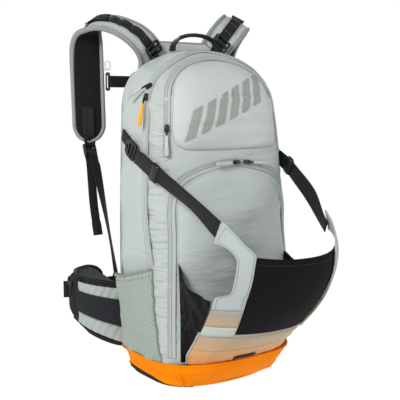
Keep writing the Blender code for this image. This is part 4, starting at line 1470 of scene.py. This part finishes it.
def make_stretch_panel():
    """The dark elastic front of the carrier, with a folded hem along its dipping top edge."""
    def point(across, up):
        turn = STRETCH_EDGE * (2 * across - 1)
        z = STRETCH_LOW + (stretch_top(turn) - STRETCH_LOW) * up
        sag = 0.0022 * noise.noise(Vector((turn * 0.03, z * 12, 9.0)))
        return flap_point(turn, z, -0.0008 + sag * math.sin(math.pi * up))

    rows = grid_of(point, 40, 30)
    panel = surface("carrier_stretch_panel", rows, STRETCH_KNIT, thickness=0.0018)
    place(panel, "carrier", "black_fabric", "flap_stretch_panel")
    turns = [STRETCH_EDGE * (i - 40) / 40 for i in range(81)]
    edge = [flap_point(t, stretch_top(t) - 0.0005, -0.0014) for t in turns]
    hem = tube("carrier_hem", edge, 0.0018, STRETCH_KNIT)
    place(hem, "carrier", "black_fabric")
    line = [flap_point(t, stretch_top(t) - 0.0085, 0.0002) for t in turns]
    outs = [flap_out(t, stretch_top(t))[1] for t in turns]
    sewing = sewn("carrier_hem_sewing", line, outs, DARK_THREAD, "carrier", "black_fabric")
    declare_sheet(rows)


# outer turn and height, inner turn and height, from the foot of an arm to its tip
ARM = (
    (67.0, 0.1080, 36.0, 0.1100),
    (62.4, 0.1270, 35.8, 0.1290),
    (57.0, 0.1580, 35.2, 0.1600),
    (55.6, 0.1720, 34.8, 0.1740),
    (54.0, 0.1790, 34.4, 0.1810),
    (47.5, 0.1840, 34.0, 0.1860),
    (44.8, 0.1890, 33.8, 0.1910),
    (43.6, 0.2050, 33.0, 0.2070),
    (43.1, 0.2300, 32.6, 0.2340),
    (44.0, 0.2410, 33.2, 0.2480),
    (48.0, 0.2510, 40.0, 0.2610),
    (54.5, 0.2585, 47.5, 0.2770),
    (59.2, 0.2610, 57.2, 0.2940),
)
ARM_FOOT = 0.1580  # below this height an arm is sewn from the faded cloth
ARM_STRIP = 0.1270  # and below this one it is grey again


def arm_point(side, row, share, lift=0.0):
    """A point of an arm, between the outer and the inner edge that a row of the table gives."""
    outer, low, inner, high = row
    inner -= 5.0 if side > 0 else 0.0
    return flap_point(side * (outer + (inner - outer) * share), low + (high - low) * share, lift)


def make_arm(side, name):
    """A stiff forked arm: laminate above, faded cloth at its foot and a grey strip below that."""
    table = [(float(i), *row) for i, row in enumerate(ARM)]
    rows = [between(table, k / 5) for k in range(5 * len(ARM) - 4)]
    blade = [r for r in rows if r[1] >= ARM_FOOT]
    foot = [r for r in rows if ARM_STRIP - 0.001 <= r[1] <= ARM_FOOT + 0.003]
    strip = [r for r in rows if r[1] <= ARM_STRIP + 0.003]
    parts = (
        (f"carrier_strip_{name}", strip, GREY_CLOTH, 0.0006, []),
        (f"carrier_foot_{name}", foot, FADED_BAND, 0.0009, []),
        (f"carrier_arm_{name}", blade, LAMINATE, 0.0014, [f"flap_arm_{name}"]),
    )
    for label, part_rows, mat, lift, stands_for in parts:
        grid = [[arm_point(side, row, s / 14, lift) for s in range(15)] for row in part_rows]
        place(surface(label, grid, mat, thickness=0.0026), "carrier", "shell_fabric", *stands_for)
    inset = 0.11
    line = [arm_point(side, row, inset, 0.0018) for row in blade[1:-3]]
    line += [arm_point(side, blade[-3], inset + (1 - 2 * inset) * k / 6, 0.0018) for k in range(7)]
    line += [arm_point(side, row, 1 - inset, 0.0018) for row in reversed(blade[1:-3])]
    outs = [Vector((p.x, p.y - FLAP_ROOT_Y, 0)).normalized() for p in line]
    sewn(f"carrier_arm_sewing_{name}", line, outs, DARK_THREAD, "carrier")


def make_gusset(side, name):
    """The crumpled side wall between the bag and the carrier's edge."""
    def point(t, up):
        root = front_point(side * (0.1035 + 0.0035 * up), 0.054 + 0.158 * up, 0.0010)
        z = 0.053 + 0.119 * up
        rim = flap_point(side * (flap_edge(z) + 0.6), z, -0.0004)
        slack = math.sin(math.pi * t)
        fold = GUSSET_WRINKLE * noise.noise(Vector((up * 4.5, t * 6 + up * 5, side * 2.0))) * slack
        fold += GUSSET_CRUMPLE * noise.noise(Vector((up * 13, t * 11, side * 7.0))) * slack
        return root.lerp(rim, t) + Vector((side * (0.010 * slack * up + fold), 0, -0.008 * slack * up))

    rows = grid_of(point, 24, 36)
    piece = surface(f"gusset_{name}", rows, GUSSET_NYLON, thickness=0.0008, offset=0)
    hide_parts(f"carrier_gusset_{name}")
    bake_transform(piece)
    declare_sheet(rows)


FLAP_STRAP = (
    (0.1390, -0.0108, 0.3797), (0.1375, -0.057, 0.3590), (0.1300, -0.090, 0.3420),
    (0.1170, -0.143, 0.3120),
)
FLAP_STRAP_WIDTH = 0.025


def make_carrier_strap(side, name):
    """Black webbing from the hook to the arm's tip, its keeper and its sewn end."""
    points = [Vector((side * x, y, z)) for x, y, z in FLAP_STRAP]
    points += [flap_point(side * 59.0, 0.2790, -0.0034), flap_point(side * 53.0, 0.2670, -0.0050)]
    sides = [Vector((side * x, -0.3, 0.9)) for x in (0, 0, 0.1, 0.2)]
    for turn in (59.0, 53.0):
        out = flap_out(side * turn, 0.273)[1]
        sides.append(out.cross(points[-1] - points[-2]).normalized() * -side)
    path, across = smooth_path(points, 44), smooth_path(sides, 44)
    band = strap(f"carrier_webbing_{name}", path, across, FLAP_STRAP_WIDTH, 0.0018)
    place(band, "carrier", "black_fabric", f"carrier_strap_{name}")
    directions = across_and_out(path, across)
    inner = -1 if directions[5][1].x * side < 0 else 1
    under = [p - d[1] * 0.0022 * inner for p, d in zip(path[2:15], directions[2:15])]
    fold = strap(f"carrier_fold_{name}", under, across[2:15], FLAP_STRAP_WIDTH - 0.001, 0.0016)
    place(fold, "carrier", "black_fabric")
    middle = [p + d[1] * 0.0004 * inner for p, d in zip(path[9:13], directions[9:13])]
    profile = webbing_profile(FLAP_STRAP_WIDTH + 0.005, 0.0076)
    keeper = sweep(f"carrier_keeper_{name}", middle, across[9:13], profile, BLACK_PLASTIC)
    place(keeper, "carrier", "black_plastic")
    tacks = []
    for k in (38, 41):
        wide, out = directions[k][0], directions[k][1] * inner
        tack = bar_tack(f"carrier_tack_{name}_{k}", path[k] + out * 0.0013, wide, 0.010, out, DARK_THREAD)
        tacks.append(tack)
    place(joined(f"carrier_tacks_{name}", tacks), "carrier", "black_fabric")


HOOK_FRAME_AT = (0.1378, 0.004, 0.3880)


def make_hook(side, name):
    """The folded webbing tab on the bag's side, and the hook buckle that hangs in it."""
    start = side_point(side, 0.046, 0.411, 0.0030)
    end = side_point(side, 0.020, 0.398, 0.0040)
    path = smooth_path([start, start.lerp(end, 0.3), start.lerp(end, 0.65), end], 14)
    across, out = Vector((0, 0.3, 0.95)), Vector((side, 0, 0))
    tab = strap(f"anchor_tab_{name}", path, [across] * 14, 0.022, 0.0026)
    place(tab, "pack", "black_fabric", f"carrier_anchor_{name}")
    tacks = []
    for share in (0.12, 0.34):
        middle = start.lerp(end, share) + out * 0.0019
        tacks.append(bar_tack(f"anchor_tack_{name}", middle, across.normalized(), 0.008, out, DARK_THREAD))
    place(joined(f"anchor_tacks_{name}", tacks), "pack", "black_fabric")
    x, y, z = HOOK_FRAME_AT
    at = frame_at(Vector((side * x, y, z)), Vector((0, -0.87, -0.49)), out)
    edge = [(0.0050, -0.0175), (0.0085, -0.0170), (0.0120, -0.0140), (0.0150, -0.0080)]
    edge += [(0.0150, 0.0105), (0.0125, 0.0130)]
    outline = edge + [(0.0, 0.0138)] + [(-a, b) for a, b in reversed(edge)]
    slots = [(0.0235, 0.0048, 0.0012, 0.0070), (0.0200, 0.0060, 0.0020, -0.0035)]
    slots.append((0.0080, 0.0045, 0.0020, -0.0118))
    outlines = [outline] + [rounded_outline(*slot) for slot in slots]
    parts = [moulding(f"hook_{name}", outlines, 0.0056, at, BLACK_PLASTIC, 0.0012)]
    for y_bar in (0.0018, 0.0112):
        bar = [at @ Vector((a * 0.0120, y_bar, 0.0022)) for a in (-1, -0.5, 0, 0.5, 1)]
        parts.append(tube(f"hook_bar_{name}", bar, 0.0017, BLACK_PLASTIC))
    place(joined(f"hook_buckle_{name}", parts), "carrier", "black_plastic", f"carrier_hook_{name}")


# ---------------------------------------------------------------- shoulder straps

PAD_PATH = (
    (0.050, 0.0860, 0.478), (0.051, 0.0830, 0.515), (0.056, 0.0765, 0.545), (0.076, 0.0755, 0.570),
    (0.1015, 0.0850, 0.588), (0.1235, 0.1020, 0.5975), (0.1380, 0.1210, 0.596), (0.1435, 0.1360, 0.581),
    (0.1450, 0.1425, 0.556), (0.1445, 0.1430, 0.515), (0.1435, 0.1425, 0.470), (0.1425, 0.1425, 0.430),
    (0.1420, 0.1435, 0.397),
)
PAD_SIDES = (
    (-0.95, 0.0, 0.20), (-0.86, 0.0, 0.45), (-0.70, 0.10, 0.70), (-0.55, 0.35, 0.72),
    (-0.50, 0.58, 0.60), (-0.55, 0.68, 0.48), (-0.70, 0.60, 0.35), (-0.90, 0.20, 0.20),
    (-0.95, -0.20, 0.08), (-0.88, -0.45, 0.0), (-0.84, -0.54, 0.0), (-0.84, -0.54, 0.0),
    (-0.88, -0.46, 0.0),
)
RIGHT_LEAN = Vector((0.028, 0, 0.017))
LEAN_SHARES = (0.0, 0.40, 0.85, 1.0, 0.95, 0.85, 0.70, 0.50, 0.30, 0.15, 0.05, 0.0, 0.0)
PAD_WIDTH = 0.057
# shares of the width from the middle line to the cloth's edge, to the binding and to the sewing
PAD_CLOTH_REACH, PAD_RIM_REACH, PAD_SEWING_REACH = 0.425, 0.445, 0.365
PAD_THICK = 0.012
PAD_STEPS = 240
PAD_ROUNDING = 0.030  # length of the pad's round lower end
WEBBING = 0.020


def flipped(points, side):
    """Points of the right side, or their mirror images for the left one."""
    return [Vector((side * x, y, z)) for x, y, z in points]


def pad_line(side, count=PAD_STEPS + 1):
    """The middle line of a shoulder pad and the directions of its width."""
    points = flipped(PAD_PATH, side)
    if side > 0:
        points = [p + RIGHT_LEAN * share for p, share in zip(points, LEAN_SHARES)]
    return smooth_path(points, count), smooth_path(flipped(PAD_SIDES, side), count)


PAD_LINES = {side: pad_line(side) for side in (-1, 1)}


def pad_frame(side, step):
    """On the pad's middle line: Y along it, Z out of its outer face."""
    path, sides = PAD_LINES[side]
    along = (path[step + 3] - path[step - 3]).normalized()
    return frame_at(path[step], along, along.cross(sides[step]) * side)


def step_at_height(side, z):
    """The step of a pad's hanging part that is nearest to a height."""
    path = PAD_LINES[side][0]
    return min(range(PAD_STEPS // 2, PAD_STEPS - 5), key=lambda k: abs(path[k].z - z))


def make_shoulder_pad(side, name):
    """Outer cloth, inner mesh and the binding round a shoulder pad with a rounded end."""
    body = f"strap_{name}"
    path, sides = pad_line(side, 90)
    along = [0.0]
    for a, b in zip(path, path[1:]):
        along.append(along[-1] + (b - a).length)
    widths = []
    for s in along:
        ending = max(0.0, 1 - (along[-1] - s) / PAD_ROUNDING)
        widths.append(PAD_WIDTH * math.sqrt(max(0.0, 1 - ending**2)))
    directions = across_and_out(path, sides)
    faces = (
        ("cloth", side, GREY_CLOTH, "shell_fabric", [f"strap_pad_{name}"]),
        ("mesh", -side, STRAP_MESH, "mesh_fabric", []),
    )
    for label, sign, mat, slot, stands_for in faces:
        rows = []
        for s, p, width, (across, out) in zip(along, path, widths, directions):
            row = []
            for i in range(15):
                a = -1 + i / 7
                crown = 0.30 + 0.70 * (1 - abs(a) ** 2.4)
                soft = 1 + 0.30 * noise.noise(Vector((s * 22, a * 1.4, side * 3.0)))
                lift = PAD_THICK / 2 * crown * soft
                row.append(p + across * a * width * PAD_CLOTH_REACH + out * sign * lift)
            rows.append(row)
        piece = surface(f"strap_{label}_{name}", rows, mat)
        place(piece, body, slot, *stands_for)
    edge = [p + d[0] * w * PAD_RIM_REACH for p, d, w in zip(path, directions, widths)]
    back = [p - d[0] * w * PAD_RIM_REACH for p, d, w in zip(path, directions, widths)]
    rim = even_path(edge[:-1] + back[::-1], 0.004)
    faced = [d[1] for d in directions]
    rim_sides = resampled(faced[:-1] + faced[::-1], len(rim))
    binding = sweep(f"strap_binding_{name}", rim, rim_sides, oval(0.0095, 0.0075), GREY_BINDING)
    place(binding, body, "shell_fabric")
    sewn_part = slice(4, -6)
    outs = [out * side for out in faced[sewn_part]]
    for label, reach in (("inner", PAD_SEWING_REACH), ("outer", -PAD_SEWING_REACH)):
        line = []
        for p, d, w in zip(path[sewn_part], directions[sewn_part], widths[sewn_part]):
            line.append(p + d[0] * w * reach + d[1] * side * (PAD_THICK / 2 * 0.82))
        sewn(f"strap_sewing_{label}_{name}", line, outs, GREY_THREAD, body)


LIFTER_STEP = 46  # the ladder lock's place, in steps along a pad
LIFTER_LAST_STEP = 134
LOOP_STEPS = 14
LABEL_STEPS = (100, 128)
WEB_LIFT = PAD_THICK / 2 + 0.0016  # webbing on a pad, above its middle surface


def make_lifter(side, name):
    """The ladder lock on the pad, its webbing with sewn loops, and a plain black patch."""
    body = f"strap_{name}"
    at = raised(pad_frame(side, LIFTER_STEP), WEB_LIFT + 0.0056)
    lock = ladder_lock(f"lifter_lock_{name}", at, WEBBING + 0.005)
    place(lock, body, "black_plastic", f"lifter_buckle_{name}")
    first = LIFTER_STEP - 8
    path, sides, tacks = [], [], []
    for k in range(first, LIFTER_LAST_STEP + 1, 2):
        here = pad_frame(side, k)
        wide, _, out, _ = [Vector(column[:3]) for column in here.col]
        loop = abs(math.sin(math.pi * (k - LIFTER_STEP) / LOOP_STEPS))
        looped = LIFTER_STEP + LOOP_STEPS <= k < LABEL_STEPS[0]
        path.append(here @ Vector((0, 0, WEB_LIFT + (0.0022 * loop if looped else 0.0))))
        sides.append(wide)
        if k >= LIFTER_STEP + LOOP_STEPS and (k - LIFTER_STEP) % LOOP_STEPS == 0:
            middle = here @ Vector((0, 0, WEB_LIFT + 0.0014))
            tacks.append(bar_tack(f"lifter_tack_{name}", middle, wide, 0.0085, out, GREY_THREAD, 0.0017))
    start = pad_frame(side, first)
    path = [start @ Vector((0, y, WEB_LIFT + z)) for y, z in ((-0.030, 0.002), (-0.013, 0.008))] + path
    webbing = strap(f"lifter_band_{name}", path, sides[:1] * 2 + sides, WEBBING)
    place(webbing, body, "black_fabric", f"lifter_webbing_{name}")
    place(joined(f"lifter_tacks_{name}", tacks), body, "black_fabric")
    rows = []
    for k in range(LABEL_STEPS[0], LABEL_STEPS[1] + 1):
        here = pad_frame(side, k)
        rows.append([here @ Vector((0.0125 * (i - 4) / 4, 0, WEB_LIFT + 0.0030)) for i in range(9)])
    place(surface(f"strap_patch_{name}", rows, DARK_CLOTH, thickness=0.0012), body, "black_fabric")


STRAP_LOCK_AT = (0.1415, 0.1425, 0.3815)
# y and z in the lock's frame, of the tab sewn to the pad and of the webbing round the bar
OVER_LOCK = ((-0.0105, -0.0032), (-0.0052, 0.0018), (-0.0020, 0.0040))
THROUGH_LOCK = (
    (0.040, -0.0070), (0.022, -0.0056), (0.0090, -0.0052), (0.0046, -0.0022), (0.0046, 0.0022),
    (0.0090, 0.0052), (0.026, 0.0055),
)
# where the webbing leaves the bag, and two points of its free tail
STRAP_ENDS = ((0.1275, 0.0750, 0.1560), (0.1390, 0.1360, 0.2850), (0.1375, 0.1240, 0.2330))


def make_strap_webbing(side, name):
    """Webbing from the bag up through the lock at the pad's end, its sewn tab and its free tail."""
    body = f"strap_{name}"
    along = Vector((-side * 0.05, -0.28, -0.95))
    at = frame_at(*flipped([STRAP_LOCK_AT], side), along, Vector((side * 0.30, 0.95, 0)))
    lock = ladder_lock(f"strap_lock_{name}", at, WEBBING)
    place(lock, body, "black_plastic", f"strap_buckle_{name}")
    across = at.to_3x3().col[0] * side
    under = Vector((0, 0, -0.0078))
    tab_path = [pad_frame(side, PAD_STEPS - k) @ under for k in (34, 12)]
    tab_path += [at @ Vector((0, y, z)) for y, z in OVER_LOCK]
    on_pad = pad_frame(side, PAD_STEPS - 20).to_3x3().col[0]
    on_pad = on_pad if on_pad.dot(across) > 0 else -on_pad
    tab_sides = smooth_path([on_pad, on_pad, on_pad.lerp(across, 0.6), across, across], 22)
    tab = strap(f"strap_tab_{name}", smooth_path(tab_path, 22), tab_sides, WEBBING)
    place(tab, body, "black_fabric")
    low, *tail = flipped(STRAP_ENDS, side)
    points = [low, low.lerp(at @ Vector((0, 0.060, -0.010)), 0.5)]
    points += [at @ Vector((0, y, z)) for y, z in THROUGH_LOCK] + tail
    sides = [Vector((side * 0.75, -0.66, 0)), Vector((side * 0.6, -0.8, 0))] + [across] * 9
    path, wides = smooth_path(points, 90), smooth_path(sides, 90)
    band = strap(f"strap_band_{name}", path, wides, WEBBING)
    place(band, body, "black_fabric", f"strap_webbing_{name}")
    hem = strap(f"strap_tail_hem_{name}", path[-5:], wides[-5:], WEBBING + 0.001, 0.0042)
    place(hem, body, "black_fabric")


STERNUM_Z = 0.500
STERNUM_Y = 0.1190
STERNUM_CLIP = 0.024  # width of the sternum clip


def beside_pad(side, z, reach):
    """A point inwards of a hanging pad's middle line, and the way out of the pad's face there."""
    at = pad_frame(side, step_at_height(side, z))
    across = at.to_3x3().col[0]
    inward = across if across.x * side < 0 else -across
    return at.translation + inward * reach, at.to_3x3().col[2]


def make_sternum():
    """Two sliders on the pads' inner edges, thin webbing and the small clip between them."""
    up = Vector((0, 0, 1))
    ends = []
    for side, name in SIDES:
        centre, out = beside_pad(side, STERNUM_Z, 0.0352)
        at = frame_at(Vector((centre.x, centre.y, STERNUM_Z)), up, out)
        outline, slot = rounded_outline(0.0080, 0.0320, 0.0030), rounded_outline(0.0030, 0.0210, 0.0012)
        parts = [moulding(f"sternum_block_{name}", [outline, slot], 0.0080, at, BLACK_PLASTIC, 0.0016)]
        for y in (-0.0120, 0.0120):
            ridge = [at @ Vector((x, y, 0.0040)) for x in (-0.0028, 0, 0.0028)]
            parts.append(tube(f"sternum_ridge_{name}", ridge, 0.0010, BLACK_PLASTIC))
        block = joined(f"sternum_block_{name}", parts)
        place(block, f"sternum_{name}", "black_plastic", f"sternum_slider_{name}")
        ends.append(centre.x + side * 0.003)
    spans = (-0.0440, ends[0]), ends[1]
    make_clip("sternum", "sternum_left", -0.0160, 0.0, spans, STERNUM_Y, STERNUM_Z, STERNUM_CLIP, WEBBING)
    centre, out = beside_pad(-1, STERNUM_Z + 0.0255, 0.0355)
    ring = [rounded_outline(0.0110, 0.0180, 0.0040), rounded_outline(0.0050, 0.0090, 0.0022, 0.0015)]
    hose_clip = moulding("hose_clip", ring, 0.0036, frame_at(centre, up, out), CLEAR_PLASTIC, 0.0010)
    place(hose_clip, "sternum_left", "black_plastic")


# ---------------------------------------------------------------- the back, the belt and the loop


BACK_FACE_Y = 0.0668
BACK_SPAN, BACK_SHARE = (0.054, 0.512), 0.92
BACK_PAD_SIZE, BACK_PAD_X, BACK_PAD_Y, BACK_PAD_Z = (0.070, 0.012, 0.268), 0.052, 0.0785, 0.300
LUMBAR_SIZE, LUMBAR_AT = (0.166, 0.014, 0.090), (0, 0.0795, 0.108)
YOKE_Y = 0.0745
YOKE_RIGHT = [
    (0.095, 0.437), (0.098, 0.440), (0.098, 0.463), (0.095, 0.466), (0.070, 0.500), (0.072, 0.545),
    (0.068, 0.560), (0.056, 0.567),
]


def upright(y):
    """A frame whose Z points to the front and whose Y points up."""
    return Matrix.Translation((0, y, 0)) @ Matrix(((1, 0, 0), (0, 0, -1), (0, 1, 0))).to_4x4()


def bag_outline(low, high, share):
    """The bag's outline from the front, between two heights, as a share of its width."""
    heights = [low + (high - low) * math.sin(math.radians(90 * k / 16)) for k in range(17)]
    return mirror_outline([(share * body_section(z)[0], z) for z in heights])


def bound_edge(name, outline, y, spacing, radius):
    """A binding round an upright plate."""
    rim = even_path([Vector((x, y, z)) for x, z in outline + outline[:1]], spacing)
    place(tube(name, rim, radius, GREY_BINDING), "pack", "shell_fabric")


def cushion(name, size, centre, swell, node):
    """A foam pad on the wearer's side, swollen as filled fabric, with a bound edge."""
    width, depth, height = size

    def skin_point(turn, share, face):
        a = math.tau * turn
        x = width / 2 * rounded(math.cos(a), 7.0) * share
        z = height / 2 * rounded(math.sin(a), 7.0) * share
        thick = depth / 2 * (0.35 + 0.65 * (1 - share**5))
        return Vector(centre) + Vector((x, face * thick, z))

    piece = pillow(name, skin_point, 72, 10, PAD_MESH)
    inflate(piece, 0.005, swell)
    rim = [skin_point(k / 96, 1.0, 0) for k in range(97)]
    place(tube(f"{name}_binding", rim, 0.0028, DARK_BINDING), "pack", "black_fabric")
    place(piece, "pack", "mesh_fabric", node)


def make_back():
    """Back panel, the swollen pads on it and the bound yoke."""
    outline = bag_outline(*BACK_SPAN, BACK_SHARE)
    panel = moulding("back_face", [outline], 0.0060, upright(BACK_FACE_Y), PAD_MESH, 0.0020)
    place(panel, "pack", "mesh_fabric", "back_panel")
    bound_edge("back_binding", outline, BACK_FACE_Y, 0.006, 0.0032)
    for side, name in SIDES:
        centre = (side * BACK_PAD_X, BACK_PAD_Y, BACK_PAD_Z)
        cushion(f"back_cushion_{name}", BACK_PAD_SIZE, centre, 0.004, f"back_pad_{name}")
    cushion("lumbar_cushion", LUMBAR_SIZE, LUMBAR_AT, 0.005, "lumbar_pad")
    outline = mirror_outline(YOKE_RIGHT)
    yoke = moulding("yoke_plate", [outline], 0.0062, upright(YOKE_Y), GREY_CLOTH, 0.0022)
    place(yoke, "pack", "shell_fabric", "shoulder_yoke")
    bound_edge("yoke_binding", outline, YOKE_Y, 0.004, 0.0026)


def repaint_inside():
    """The foam plate and the divider keep their CAD shape and get their own finish."""
    for node, mat in (("back_protector", FOAM_SHEET), ("compartment_divider", DARK_CLOTH)):
        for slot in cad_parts[node].material_slots:
            slot.material = mat


BELT_CENTRE_Y = 0.150
BELT_HALF_WIDTH = 0.170
BELT_HALF_DEPTH = 0.080
BELT_ROOT_TURN = -122.0
BELT_SWEEP = 120.0
BELT_THICK = 0.010


def wing_point(side, share, up, lift=0.0):
    """Along the belt's oval from its root, up its height, and out from its middle surface."""
    angle = math.radians(BELT_ROOT_TURN - share * BELT_SWEEP)
    x, y = -side * math.cos(angle), math.sin(angle)
    out = Vector((x / BELT_HALF_WIDTH, y / BELT_HALF_DEPTH, 0)).normalized()
    low = 0.024 + 0.062 * min(1, share * 1.9) ** 0.9
    high = 0.1495 + 0.0125 * min(1, share / 0.45)
    taper = max(0.0, share - 0.86) / 0.14
    low, high = low + 0.012 * taper**2, high - 0.010 * taper**2
    p = Vector((x * BELT_HALF_WIDTH, BELT_CENTRE_Y + y * BELT_HALF_DEPTH, low + (high - low) * up))
    return p + out * lift


QUILT_PITCH = 0.0115
QUILT_SWELL = 0.0016
WING_LENGTH = 0.235
# start and end along a wing, low and high edge, and lift off the wing's middle surface
QUILT_AREA = ((0.02, 0.40), (0.085, 0.91), 0.0070)
POCKET_AREA = ((0.385, 0.93), (0.05, 0.95), 0.0085)
ELASTIC_AREA = ((0.015, 0.41), (0.33, 0.74), 0.0098)


def quilt(share, up):
    """How the light padding of a wing swells between its sewn channels."""
    length = share * WING_LENGTH
    wave = abs(math.sin(math.pi * (length + 0.45 * up * 0.1) / QUILT_PITCH))
    return QUILT_SWELL * wave**0.6


def wing_patch(name, side, area, mat, slot, profile=None, counts=(50, 14), rim=0.15):
    """Padded cloth on part of a wing's outer face."""
    shares, ups, lift = area

    def point(s, u):
        share = shares[0] + (shares[1] - shares[0]) * s
        up = ups[0] + (ups[1] - ups[0]) * u
        edge = min(1.0, 5 * min(s, 1 - s, u, 1 - u) + rim) ** 0.5
        extra = profile(share, up) if profile else 0.0
        return wing_point(side, share, up, lift * edge + extra)

    piece = surface(name, grid_of(point, *counts), mat)
    place(piece, "wing_left" if side < 0 else "wing_right", slot)


def along_wing(side, start, length, up, lift):
    """Points along a wing at one height, and the ways out of it."""
    line, outs = [], []
    for k in range(41):
        share = start + length * k / 40
        line.append(wing_point(side, share, up, lift))
        outs.append((wing_point(side, share, up, 0.02) - line[-1]).normalized())
    return line, outs


def make_wing(side, name):
    """A swollen foam wing: black mesh inside, quilted light cloth, an elastic band and a pocket."""
    body = f"wing_{name}"

    def skin_point(turn, share, face):
        a = math.tau * turn
        s = 0.5 + 0.493 * rounded(math.cos(a), 8.0) * share
        u = 0.5 + 0.48 * rounded(math.sin(a), 5.0) * share
        thick = BELT_THICK / 2 * (0.30 + 0.62 * (1 - share**4))
        return wing_point(side, s, u, face * thick)

    def crumple(s, u):
        return 0.0012 * noise.noise(Vector((s * 14, u * 4, side)))

    core = pillow(f"wing_core_{name}", skin_point, 150, 12, PAD_MESH)
    inflate(core, 0.0045, 0.0014)
    place(core, body, "mesh_fabric", f"hip_wing_{name}")
    rim = [skin_point(k / 200, 1.0, 0) for k in range(201)]
    place(tube(f"wing_binding_{name}", rim, 0.0044, DARK_BINDING), body, "black_fabric")
    fine = (110, 30)
    wing_patch(f"wing_quilt_{name}", side, QUILT_AREA, QUILTED_CLOTH, "shell_fabric", quilt, fine, 0.5)
    wing_patch(f"wing_pocket_{name}", side, POCKET_AREA, DARK_CLOTH, "black_fabric", crumple)
    wing_patch(f"wing_elastic_{name}", side, ELASTIC_AREA, BELT_ELASTIC, "black_fabric", rim=0.9)
    line, outs = along_wing(side, 0.46, 0.43, 0.80, 0.0100)
    profile = webbing_profile(0.010, 0.0012)
    tape = sweep(f"wing_zip_{name}", line, [Vector((0, 0, 1))] * len(line), profile, DARK_BINDING)
    place(tape, body, "black_fabric")
    coil = [p + o * 0.0008 for p, o in zip(line, outs)]
    sewn(f"wing_zip_coil_{name}", coil, outs, DARK_THREAD, body, "black_fabric", COIL_PITCH)
    pull = [wing_point(side, 0.47 + 0.002 * k, 0.78 - 0.05 * k, 0.0118) for k in range(6)]
    place(tube(f"wing_zip_pull_{name}", pull, 0.0013, BLACK_PLASTIC), body, "black_plastic")
    for up, label in ((0.32, "low"), (0.75, "high")):
        line, outs = along_wing(side, 0.02, 0.40, up, 0.0100)
        sewn(f"wing_sewing_{label}_{name}", line, outs, DARK_THREAD, body, "black_fabric")
    rows = grid_of(lambda out, up: wing_point(side, 0.60, 0.40 + 0.39 * up, 0.008 + 0.010 * out), 4, 6)
    tab = surface(f"wing_tab_{name}", rows, WEBBING_CLOTH, thickness=0.0024, offset=0)
    place(tab, body, "black_fabric")
    ribs = []
    for k in range(5):
        line = along_wing(side, 0.30, 0.66, 0.14 + 0.18 * k, -0.0062)[0]
        ribs.append(tube(f"wing_rib_{name}", line, 0.0022, STRAP_MESH, 6))
    place(joined(f"wing_ribs_{name}", ribs), body, "mesh_fabric")


BELT_CLIP_Y = 0.2290
BELT_CLIP_Z = 0.118
BELT_CLIP = 0.034  # width of the belt clip
BELT_WEBBING = 0.025


def make_belt_clip():
    """The belt's clip and the webbing between it and the wings."""
    spans = (-0.0500, -0.0900), 0.1000
    make_clip("belt", "wing_left", -0.0100, -0.0040, spans, BELT_CLIP_Y, BELT_CLIP_Z, BELT_CLIP, BELT_WEBBING)


HAUL_HALF_WIDTH = 0.047
HAUL_Y, HAUL_Z = 0.022, 0.5490
HAUL_RISE = 0.0285


def make_haul_loop():
    """The webbing loop that the pack is lifted and hung by, doubled in its grip."""
    path = []
    for k in range(33):
        a = math.radians(180 * k / 32)
        rise = HAUL_RISE * max(0.0, math.sin(a)) ** 0.8
        path.append(Vector((-HAUL_HALF_WIDTH * math.cos(a), HAUL_Y, HAUL_Z + rise)))
    sides = [Vector((0, 1, 0))] * 33
    place(strap("haul_band", path, sides, 0.018, 0.0022), "haul_loop", "black_fabric", "haul_loop")
    grip = sweep("haul_grip", path[9:24], sides[9:24], oval(0.0150, 0.0066), WEBBING_CLOTH)
    place(grip, "haul_loop", "black_fabric")


# ---------------------------------------------------------------- making the pieces

make_camera()
make_studio()
make_bag_shell()
make_boot()
make_zips()
make_sliders()
make_front_panel()
make_front_compartment_panel()
make_seams()
make_lower_panel()
make_stretch_panel()
for SIDE, NAME in SIDES:
    make_pocket(SIDE, NAME)
    make_arm(SIDE, NAME)
    make_gusset(SIDE, NAME)
    make_carrier_strap(SIDE, NAME)
    make_hook(SIDE, NAME)
    make_shoulder_pad(SIDE, NAME)
    make_lifter(SIDE, NAME)
    make_strap_webbing(SIDE, NAME)
    make_wing(SIDE, NAME)
make_sternum()
make_back()
repaint_inside()
make_belt_clip()
make_haul_loop()
